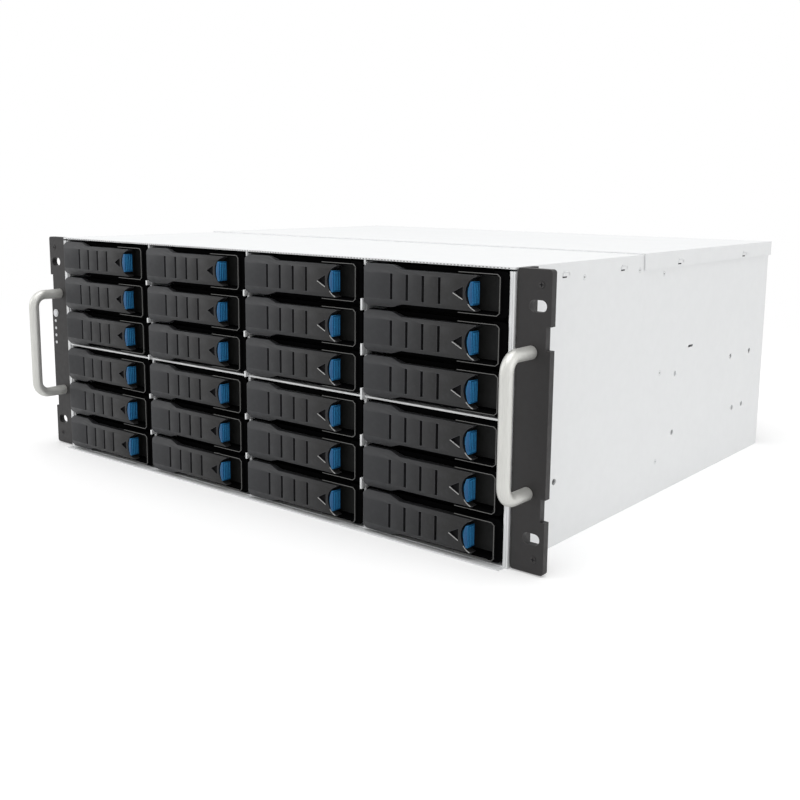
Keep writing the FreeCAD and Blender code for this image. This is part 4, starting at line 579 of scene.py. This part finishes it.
def bay_offset(row, column):
    """From the top left bay to this one."""
    _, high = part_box("drive_tray_r1c1")
    _, there_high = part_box(f"drive_tray_r{row}c{column}")
    return Vector((there_high.x - high.x, 0.0, there_high.z - high.z))


def shade_bezel(mesh):
    """A dark grey finger recess; a black plate round it and the channels between rows in a dull copy
    of the bezel black without the painted edge highlight, as painted shade; and a raised frame that
    keeps the painted edge highlight.
    """
    mesh.materials.append(CHANNEL_BLACK)
    mesh.materials.append(RECESS_BLACK)
    for polygon in mesh.polygons:
        if polygon.material_index:
            continue
        middle = polygon.center / MM
        inside = RECESS_X[0] < middle.x < RECESS_X[1] and RECESS_Z[0] < middle.z < RECESS_Z[1]
        if inside and middle.y > RECESS_FRONT:
            polygon.material_index = RECESS_INDEX
        elif middle.y > PLATE_FRONT:
            polygon.material_index = CHANNEL_INDEX


def rim_lines():
    """A painted highlight: pale grey bars along the edge of the raised frame round the top left bay's
    finger recess.
    """
    work = Builder()
    for side in (-1, 1):
        left = (RIM_LEFT, RIM_FACE, BAY_LEVEL + side * RIM_HALF)
        turn = (RIM_TURN, RIM_FACE, BAY_LEVEL + side * RIM_HALF)
        right = (RIM_RIGHT, RIM_FACE, BAY_LEVEL + side * (RIM_HALF - RIM_CORNER))
        work.bar(left, turn, RIM_WIDTH)
        work.bar(turn, right, RIM_WIDTH)
    work.bar((RIM_RIGHT, RIM_FACE, BAY_LEVEL - RIM_HALF + RIM_CORNER),
             (RIM_RIGHT, RIM_FACE, BAY_LEVEL + RIM_HALF - RIM_CORNER), RIM_END_WIDTH)
    made = work.mesh("rim_lines")
    made.materials.append(RIM_PAINTED_HIGHLIGHT)
    return made


def drive_lid():
    """The bright lid of the top left bay's drive with its spindle plate, and the lid's screws."""
    lid = Builder().box((-209.5, 32.0, LID_LEVEL - 0.2), (-112.9, 160.0, LID_LEVEL + 0.05))
    lid.disc((-161.2, 84.0, LID_LEVEL - 0.05), "z", 31.0, 0.35, 48)
    lid.disc((-161.2, 84.0, LID_LEVEL + 0.2), "z", 9.0, 0.2, 32)
    screws = Builder()
    for x in (-206.0, -116.4):
        for y in (36.0, 96.0, 156.0):
            screws.disc((x, y, LID_LEVEL), "z", 2.4, 0.5, 16)
    return joined("drive_lid", [(lid.mesh("lid", 0.1), DRIVE_LID),
                                (screws.mesh("lid_screws", 0.1), SCREW_STEEL)])


def lever_shine():
    """Painted highlights: pale bars along the edges of the arrow and of the bite in the top left
    bay's lever.
    """
    near, far = ARROW_SHINE_DROPS
    work = Builder().bar((ARROW_X[0], ARROW_Y[0], BAY_LEVEL - near),
                         (ARROW_SHINE_END, ARROW_Y[0], BAY_LEVEL - far), 0.45)
    for turn in BITE_TURNS:
        ends = [(BITE_X + BITE_RADIUS * math.cos(math.radians(angle)), BITE_Y,
                 BAY_LEVEL + BITE_RADIUS * math.sin(math.radians(angle)))
                for angle in (turn, turn + BITE_TURNS.step)]
        work.bar(*ends, 0.4)
    made = work.mesh("lever_shine")
    made.materials.append(EDGE_PAINTED_HIGHLIGHT)
    return made


def tray_look():
    """The top left tray with its drive and lever pin."""
    tray, drive, pin = solids_of("drive_tray_r1c1")
    if volume_box(tray) < volume_box(drive):
        tray, drive = drive, tray
    made = joined("tray_and_drive", [(softened(tray, 0.25), BEZEL_BLACK),
                                     (softened(drive, 0.6), DRIVE_CAST), (pin, BRIGHT_STEEL)])
    shade_bezel(made)
    return made


def lever_look():
    """The top left lever, with painted light along it and painted shade inside its arrow."""
    low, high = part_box("tray_lever_r1c1")
    # painted light: lit grey at the hinge end, shaded near-black towards the button
    grey = lever_plastic("lever_grey", (0.036, 0.037, 0.040), (0.0150, 0.0142, 0.0135),
                         low.x / MM, high.x / MM)
    made = softened(solids_of("tray_lever_r1c1")[0], 0.35)
    made.materials.append(grey)
    # painted shade: the arrow's recess gets the dark hollow material
    made.materials.append(HOLLOW_SHADE)
    for polygon in made.polygons:
        middle = polygon.center / MM
        if (ARROW_X[0] < middle.x < ARROW_X[1] and ARROW_Y[0] < middle.y < ARROW_Y[1]
                and abs(middle.z - BAY_LEVEL) < ARROW_HALF):
            polygon.material_index = 1
    return made


def button_look():
    """The top left release button, its blue painted lighter at the left end and darker to the right,
    with a painted highlight on its edges.
    """
    made = softened(solids_of("release_button_r1c1")[0], 0.9, segments=3)
    low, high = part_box("release_button_r1c1")
    # painted light: lighter blue at the left end, darker blue to the right, plus the painted edge
    # highlight
    made.materials.append(lever_plastic("button_blue", (0.016, 0.150, 0.30), (0.010, 0.065, 0.19),
                                        low.x / MM, high.x / MM))
    return made


def make_trays():
    """Every bay gets the tray, lever and button of the top left one, with rounded edges."""
    tray_mesh = tray_look()
    shine_mesh = lever_shine()
    rim_mesh = rim_lines()
    lid_mesh = drive_lid()
    lever_mesh = lever_look()
    button_mesh = button_look()
    for row in range(1, ROWS + 1):
        for column in range(1, COLUMNS + 1):
            bay = f"r{row}c{column}"
            offset = bay_offset(row, column)
            tray_body = f"drive_tray_{bay}"
            shown = piece(f"tray_{bay}", tray_mesh, tray_body, offset)
            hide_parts(tray_body)
            lever_body = f"tray_lever_{bay}" if row == 1 else tray_body
            button_body = f"release_button_{bay}" if row == 1 else tray_body
            lever = piece(f"lever_{bay}", lever_mesh, lever_body, offset)
            button = piece(f"button_{bay}", button_mesh, button_body, offset)
            piece(f"rim_lines_{bay}", rim_mesh, tray_body, offset)
            piece(f"drive_lid_{bay}", lid_mesh, tray_body, offset)
            # the painted highlights go on the two right columns only
            if column > 2:
                piece(f"lever_shine_{bay}", shine_mesh, lever_body, offset)
            if row == 1:
                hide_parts(lever_body)
                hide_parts(button_body)


make_trays()


# ---------------------------------------------------------------- details of the chassis

WALL_X = 218.2
SKIRT_X = 219.3
HOOK_PLACES = (("chassis", WALL_X, (54.5, 129.0)), ("rear_cover", SKIRT_X, (214.3, 336.3)))
DIMPLES = ((77.0, 165.0), (152.0, 165.0), (190.0, 160.5), (191.0, 90.0), (191.0, 25.0))
EDGE_HALF = 216.0
TOOTH_PITCH = 2.5
TOOTH_COUNT = 172
FLOOR_EDGE_FRONT = -7.6
FLOOR_EDGE_TOP = 0.9
GAP_MIDDLES = (145.15, 116.75, 88.4, 58.25, 29.85)
TABS = ((-107.45, 1.4, 2.2), (0.0, 1.6, 2.6), (107.45, 2.6, 4.8))
TAB_HALF = 0.75
EAR_SCREW_LIMIT = 12.0
CROSS_LONG, CROSS_SHORT = 1.3, 0.25
REAR_FACE = 394.0
SCREW_FACE = 393.8
FAN_MIDDLES = (-141.0, 0.0, 141.0)
FAN_LEVEL = 107.2
WIRE_PITCH = 6.4
MODULE_SIDES = {"power_supply_1": (130.7, 216.7), "power_supply_2": (42.9, 128.9),
                "expander_canister": (-216.7, 41.1)}
MODULE_TOP = 43.5
PORT_PITCH = 15.85
THUMBSCREW_LEVEL = 170.2


def detail(name, body, builder, material, width=0.0):
    """A detail that rides on a body, from the builder's solids."""
    return piece(name, builder.mesh(name, width), body, material=material)


def make_wall_marks():
    """Pressed hooks on the side walls and cover skirts with slits of painted shade under them, and
    dimples on the walls with pits of painted shade.
    """
    for body, face, places in HOOK_PLACES:
        hooks, slits = Builder(), Builder()
        for side in (-1, 1):
            for place in places:
                near, far = sorted((side * face, side * (face + 0.5)))
                hooks.box((near, place - 3.2, 169.2), (far, place + 3.9, 170.2))
                hooks.box((near, place + 2.6, 167.2), (far, place + 3.9, 168.9))
                # painted shade: a thin dark slit under each hook
                near, far = sorted((side * face, side * (face + 0.08)))
                slits.box((near, place - 4.2, 166.1), (far, place + 0.8, 167.0))
        detail(f"hooks_{body}", body, hooks, WHITE_STEEL, 0.2)
        detail(f"hook_slits_{body}", body, slits, HOLLOW_SHADE)
    rims, pits = Builder(), Builder()
    for side in (-1, 1):
        for along, level in DIMPLES:
            rims.ring((side * WALL_X, along, level), "x", 1.7, 0.16, 24, 6)
            # painted shade: a grey pit in each dimple
            near, far = sorted((side * WALL_X, side * (WALL_X + 0.06)))
            pits.disc((near, along, level), "x", 0.6, far - near, 12)
    detail("dimple_rims", "chassis", rims, MODULE_METAL)
    detail("dimple_pits", "chassis", pits, PIT_AND_GAP_SHADE)


def make_edges():
    """Fine grey teeth of painted shade along the cover's lip, the floor's front edge and the strip
    under the seam.
    """
    # painted shade: grey teeth for the dark gaps between the lip's fingers
    teeth = Builder()
    for step in range(TOOTH_COUNT):
        left = -214.0 + TOOTH_PITCH * step
        teeth.box((left, -1.46, 174.25), (left + 1.2, -1.38, 174.7))
    detail("lip_teeth", "chassis", teeth, PIT_AND_GAP_SHADE)
    edge = Builder().box((-EDGE_HALF, FLOOR_EDGE_FRONT, 0.05), (EDGE_HALF, -1.2, FLOOR_EDGE_TOP))
    detail("floor_edge", "chassis", edge, WHITE_STEEL, 0.1)
    seam = Builder().box((-EDGE_HALF, 157.45, 174.2), (EDGE_HALF, 158.15, 175.2))
    detail("cover_seam", "chassis", seam, WHITE_STEEL)


def make_front_marks():
    """Tabs between the trays, and crosses of painted shade in the ear screws."""
    tabs = Builder()
    for middle, below, above in TABS:
        left, right = middle - TAB_HALF, middle + TAB_HALF
        for level in GAP_MIDDLES:
            tabs.box((left, -4.2, level - below), (right, 0.0, level + above))
        tabs.box((left, -1.0, 170.6), (right, 0.0, 173.9))
    detail("bay_tabs", "chassis", tabs, WHITE_STEEL, 0.2)
    # painted shade: thin dark crosses for the recessed crosses of the ear screws
    crosses = Builder()
    for _, low, high in islands(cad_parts["ear_screws"].data):
        low, high = low / MM, high / MM
        x, z = (low.x + high.x) / 2, (low.z + high.z) / 2
        if high.y > EAR_SCREW_LIMIT or high.x - low.x > EAR_SCREW_LIMIT:
            continue
        for wide, tall in ((CROSS_LONG, CROSS_SHORT), (CROSS_SHORT, CROSS_LONG)):
            crosses.box((x - wide, low.y - 0.03, z - tall), (x + wide, low.y + 0.1, z + tall))
    detail("screw_crosses", "chassis", crosses, HOLLOW_SHADE)


def dots(work, x, z, columns, rows, pitch, radius):
    """Round vent holes on a rear face as thin dark discs of painted shade, every other row shifted by
    half a pitch.
    """
    for column in range(columns):
        for row in range(rows):
            shift = pitch / 2 if row % 2 else 0.0
            centre = (x + column * pitch + shift, REAR_FACE - 0.02, z + row * pitch * 0.87)
            work.disc(centre, "y", radius, 0.07, 12)
    return work


def make_grilles():
    """Wire mesh behind the rear panel's slots, and the guard rings on the fans."""
    wires = Builder()
    for middle in FAN_MIDDLES:
        for step in range(18):
            x = middle - 54.4 + WIRE_PITCH * step
            wires.box((x - 0.4, 391.6, 54.5), (x + 0.4, 392.4, 159.9))
        for step in range(17):
            z = 56.0 + WIRE_PITCH * step
            wires.box((middle - 54.6, 391.9, z - 0.4), (middle + 54.6, 392.7, z + 0.4))
    detail("grille_wires", "chassis", wires, INNER_STEEL)
    guards = Builder()
    for middle in FAN_MIDDLES:
        for radius in (14.0, 24.0, 34.0, 44.0, 54.0):
            guards.ring((middle, 230.2, FAN_LEVEL), "y", radius, 0.7, 48, 6)
        for turn in (45, 135):
            lean = math.radians(turn)
            across = Vector((math.cos(lean), 0.0, math.sin(lean))) * 62
            centre = Vector((middle, 231.2, FAN_LEVEL))
            guards.bar(centre - across, centre + across, 1.2)
    detail("fan_guards", "chassis", guards, BRIGHT_STEEL)


def make_supply_marks(number):
    """Vent holes, screws and a lamp on a power supply's rear face."""
    body = f"power_supply_{number}"
    left, _ = MODULE_SIDES[body]
    holes = dots(Builder(), left + 11.5, 8.0, 3, 7, 5.0, 1.75)
    dots(holes, left + 59.5, 8.0, 1, 7, 5.0, 1.4)
    detail(f"supply_vents_{number}", body, holes, HOLLOW_SHADE)
    screws = Builder()
    for level in (7.5, 26.0):
        screws.disc((left + 80.5, SCREW_FACE, level), "y", 2.6, 1.3, 24)
    detail(f"supply_screws_{number}", body, screws, BRIGHT_STEEL, 0.25)
    lamp = Builder().disc((left + 80.5, SCREW_FACE, 37.0), "y", 1.5, 0.9, 20)
    detail(f"supply_lamp_{number}", body, lamp, LAMP_GREEN, 0.2)


def make_canister_marks():
    """Port cages and tongues, vent holes, lamps and screws on the canister's rear face."""
    left, _ = MODULE_SIDES["expander_canister"]
    cages, tongues, lamps = Builder(), Builder(), Builder()
    for number in range(5):
        x = left + 22.3 + PORT_PITCH * number
        cages.box((x - 0.3, 382.6, 18.1), (x + 0.3, 394.3, 26.9))
    for low, high in ((26.6, 27.0), (18.0, 18.4)):
        cages.box((left + 22.0, 382.6, low), (left + 86.0, 394.3, high))
    for number in range(4):
        x = left + 30.2 + PORT_PITCH * number
        tongues.box((x - 5.6, 383.0, 22.0), (x + 5.6, 389.0, 23.2))
        tongues.box((x - 6.8, 382.4, 18.5), (x + 6.8, 383.2, 26.5))
        for side in (-2.2, 2.2):
            lamps.disc((x + side, 393.9, 31.0), "y", 0.9, 0.5, 14)
    detail("port_cages", "expander_canister", cages, BRIGHT_STEEL)
    detail("port_tongues", "expander_canister", tongues, CONNECTOR_BLACK)
    detail("port_lamps", "expander_canister", lamps, LAMP_GREEN, 0.1)
    holes = dots(Builder(), left + 100.0, 9.0, 14, 6, 6.0, 1.9)
    detail("canister_vents", "expander_canister", holes, HOLLOW_SHADE)
    screws = Builder()
    for x in (left + 7.0, left + 15.5):
        for z in (8.0, 37.0):
            screws.disc((x, SCREW_FACE, z), "y", 2.3, 1.2, 24)
    detail("canister_screws", "expander_canister", screws, BRIGHT_STEEL, 0.25)


def make_cover_screws():
    """Thumbscrews that hold the sliding cover to the rear panel."""
    heads, slots = Builder(), Builder()
    for x in (-205.0, 205.0):
        heads.disc((x, 396.6, THUMBSCREW_LEVEL), "y", 4.2, 3.4, 40)
        heads.disc((x, 399.8, THUMBSCREW_LEVEL), "y", 3.4, 0.5, 40)
        # painted shade: a thin dark bar in each head's slot
        slots.box((x - 3.0, 400.2, 169.8), (x + 3.0, 400.36, 170.6))
    detail("cover_thumbscrews", "rear_cover", heads, BRIGHT_STEEL, 0.3)
    detail("thumbscrew_slots", "rear_cover", slots, HOLLOW_SHADE)


def make_module_tops():
    """Lid screws, and vent slots as thin dark boxes of painted shade, on top of each power supply and
    of the canister.
    """
    for body, (left, right) in MODULE_SIDES.items():
        screws, slots = Builder(), Builder()
        for x in (left + 5.0, right - 5.0):
            for y in (218.0, 300.0, 386.0):
                screws.disc((x, y, MODULE_TOP - 0.1), "z", 2.3, 0.4, 20)
        count = int((right - left - 30.0) // 5.0)
        for step in range(count):
            x = left + 15.0 + 5.0 * step
            slots.box((x, 232.0, MODULE_TOP - 0.02), (x + 1.8, 262.0, MODULE_TOP + 0.05))
        detail(f"lid_screws_{body}", body, screws, SCREW_STEEL, 0.08)
        detail(f"lid_slots_{body}", body, slots, HOLLOW_SHADE)


make_wall_marks()
make_edges()
make_front_marks()
make_module_tops()
make_grilles()
make_supply_marks(1)
make_supply_marks(2)
make_canister_marks()
make_cover_screws()


# ---------------------------------------------------------------- stage, lights and camera

FLOOR_SIZE = 60
FLOOR_GREY = 0.80
FLOOR_GLOW = 0.30
FADE_START, FADE_END = 0.45, 1.5
STUDIO_STRENGTH = 0.60


def seen_directly(tree):
    """1 for camera, glossy and transmission rays, which see the background at full white."""
    path = tree.nodes.new("ShaderNodeLightPath")
    seen = path.outputs["Is Camera Ray"]
    for ray in ("Is Glossy Ray", "Is Transmission Ray"):
        most = tree.nodes.new("ShaderNodeMath")
        most.operation = "MAXIMUM"
        tree.links.new(seen, most.inputs[0])
        tree.links.new(path.outputs[ray], most.inputs[1])
        seen = most.outputs[0]
    return seen


def make_floor():
    """A pale floor that keeps the object's shadow and turns plain white away from it."""
    bpy.ops.mesh.primitive_plane_add(size=FLOOR_SIZE, location=(0, 0, 0))
    floor = bpy.context.object
    floor.name = "floor"
    made = bpy.data.materials.new("floor_pale")
    made.use_nodes = True
    tree = made.node_tree
    tree.nodes.clear()
    output = tree.nodes.new("ShaderNodeOutputMaterial")
    diffuse = tree.nodes.new("ShaderNodeBsdfDiffuse")
    diffuse.inputs["Color"].default_value = (FLOOR_GREY, FLOOR_GREY, FLOOR_GREY, 1)
    glow = tree.nodes.new("ShaderNodeEmission")
    glow.inputs["Strength"].default_value = FLOOR_GLOW
    white = tree.nodes.new("ShaderNodeEmission")
    white.inputs["Strength"].default_value = 1.0
    both = tree.nodes.new("ShaderNodeAddShader")
    far = tree.nodes.new("ShaderNodeMixShader")
    choice = tree.nodes.new("ShaderNodeMixShader")
    place = tree.nodes.new("ShaderNodeTexCoord")
    reach = tree.nodes.new("ShaderNodeVectorMath")
    reach.operation = "LENGTH"
    fade = tree.nodes.new("ShaderNodeMapRange")
    fade.interpolation_type = "SMOOTHSTEP"
    fade.inputs["From Min"].default_value = FADE_START
    fade.inputs["From Max"].default_value = FADE_END
    for source, target in (
            (place.outputs["Object"], reach.inputs[0]),
            (reach.outputs["Value"], fade.inputs["Value"]),
            (diffuse.outputs[0], both.inputs[0]),
            (glow.outputs[0], both.inputs[1]),
            (fade.outputs["Result"], far.inputs["Fac"]),
            (both.outputs[0], far.inputs[1]),
            (white.outputs[0], far.inputs[2]),
            (seen_directly(tree), choice.inputs["Fac"]),
            (diffuse.outputs[0], choice.inputs[1]),
            (far.outputs[0], choice.inputs[2]),
            (choice.outputs[0], output.inputs["Surface"])):
        tree.links.new(source, target)
    floor.data.materials.append(made)


def make_world():
    """An even grey light that looks white where it is seen directly."""
    world = bpy.data.worlds.new("studio")
    bpy.context.scene.world = world
    world.use_nodes = True
    tree = world.node_tree
    tree.nodes.clear()
    output = tree.nodes.new("ShaderNodeOutputWorld")
    choice = tree.nodes.new("ShaderNodeMixShader")
    for strength, socket in ((STUDIO_STRENGTH, 1), (1.0, 2)):
        background = tree.nodes.new("ShaderNodeBackground")
        background.inputs["Color"].default_value = (1, 1, 1, 1)
        background.inputs["Strength"].default_value = strength
        tree.links.new(background.outputs[0], choice.inputs[socket])
    tree.links.new(seen_directly(tree), choice.inputs["Fac"])
    tree.links.new(choice.outputs[0], output.inputs["Surface"])


def area_light(name, place, target, size, power):
    """A soft rectangular lamp aimed at a point."""
    data = bpy.data.lights.new(name, "AREA")
    data.shape = "RECTANGLE"
    data.size, data.size_y = size
    data.energy = power
    lamp = bpy.data.objects.new(name, data)
    bpy.context.scene.collection.objects.link(lamp)
    lamp.location = place
    lamp.rotation_euler = (Vector(target) - Vector(place)).to_track_quat("-Z", "Y").to_euler()


# Name, place, target, size and power of each lamp.
LAMPS = (
    ("key", (0.2, -0.3, 2.2), (0, 0.15, 0.05), (1.8, 1.8), 23),
    ("side", (2.2, 0.3, 0.7), (0.1, 0.2, 0.08), (1.4, 1.4), 7),
    ("left", (-1.8, -1.3, 1.0), (0, 0, 0.08), (1.2, 1.2), 8),
)

# The photograph's view, solved from features of known size.
CAMERA_PLACE = (525.91, -481.17, 218.28)
CAMERA_FORWARD = (-0.61898, 0.76787, -0.16504)
CAMERA_RIGHT = (0.77749, 0.62882, 0.00973)
SENSOR_WIDTH = 36.0
LENS = 46.10
SHIFT_X, SHIFT_Y = -0.0040, -0.0516


def make_camera():
    """The photograph's view."""
    place = Vector(CAMERA_PLACE) * MM
    forward = Vector(CAMERA_FORWARD).normalized()
    right = Vector(CAMERA_RIGHT).normalized()
    up = right.cross(forward).normalized()
    right = forward.cross(up).normalized()
    data = bpy.data.cameras.new("camera")
    data.sensor_width = SENSOR_WIDTH
    data.lens = LENS
    data.shift_x = SHIFT_X
    data.shift_y = SHIFT_Y
    data.clip_start = 0.01
    camera = bpy.data.objects.new("camera", data)
    bpy.context.scene.collection.objects.link(camera)
    turn = Matrix((right, up, -forward)).transposed().to_4x4()
    camera.matrix_world = Matrix.Translation(place) @ turn
    bpy.context.scene.camera = camera


make_floor()
make_world()
for lamp in LAMPS:
    area_light(*lamp)
make_camera()
bpy.context.scene.view_settings.view_transform = "Standard"
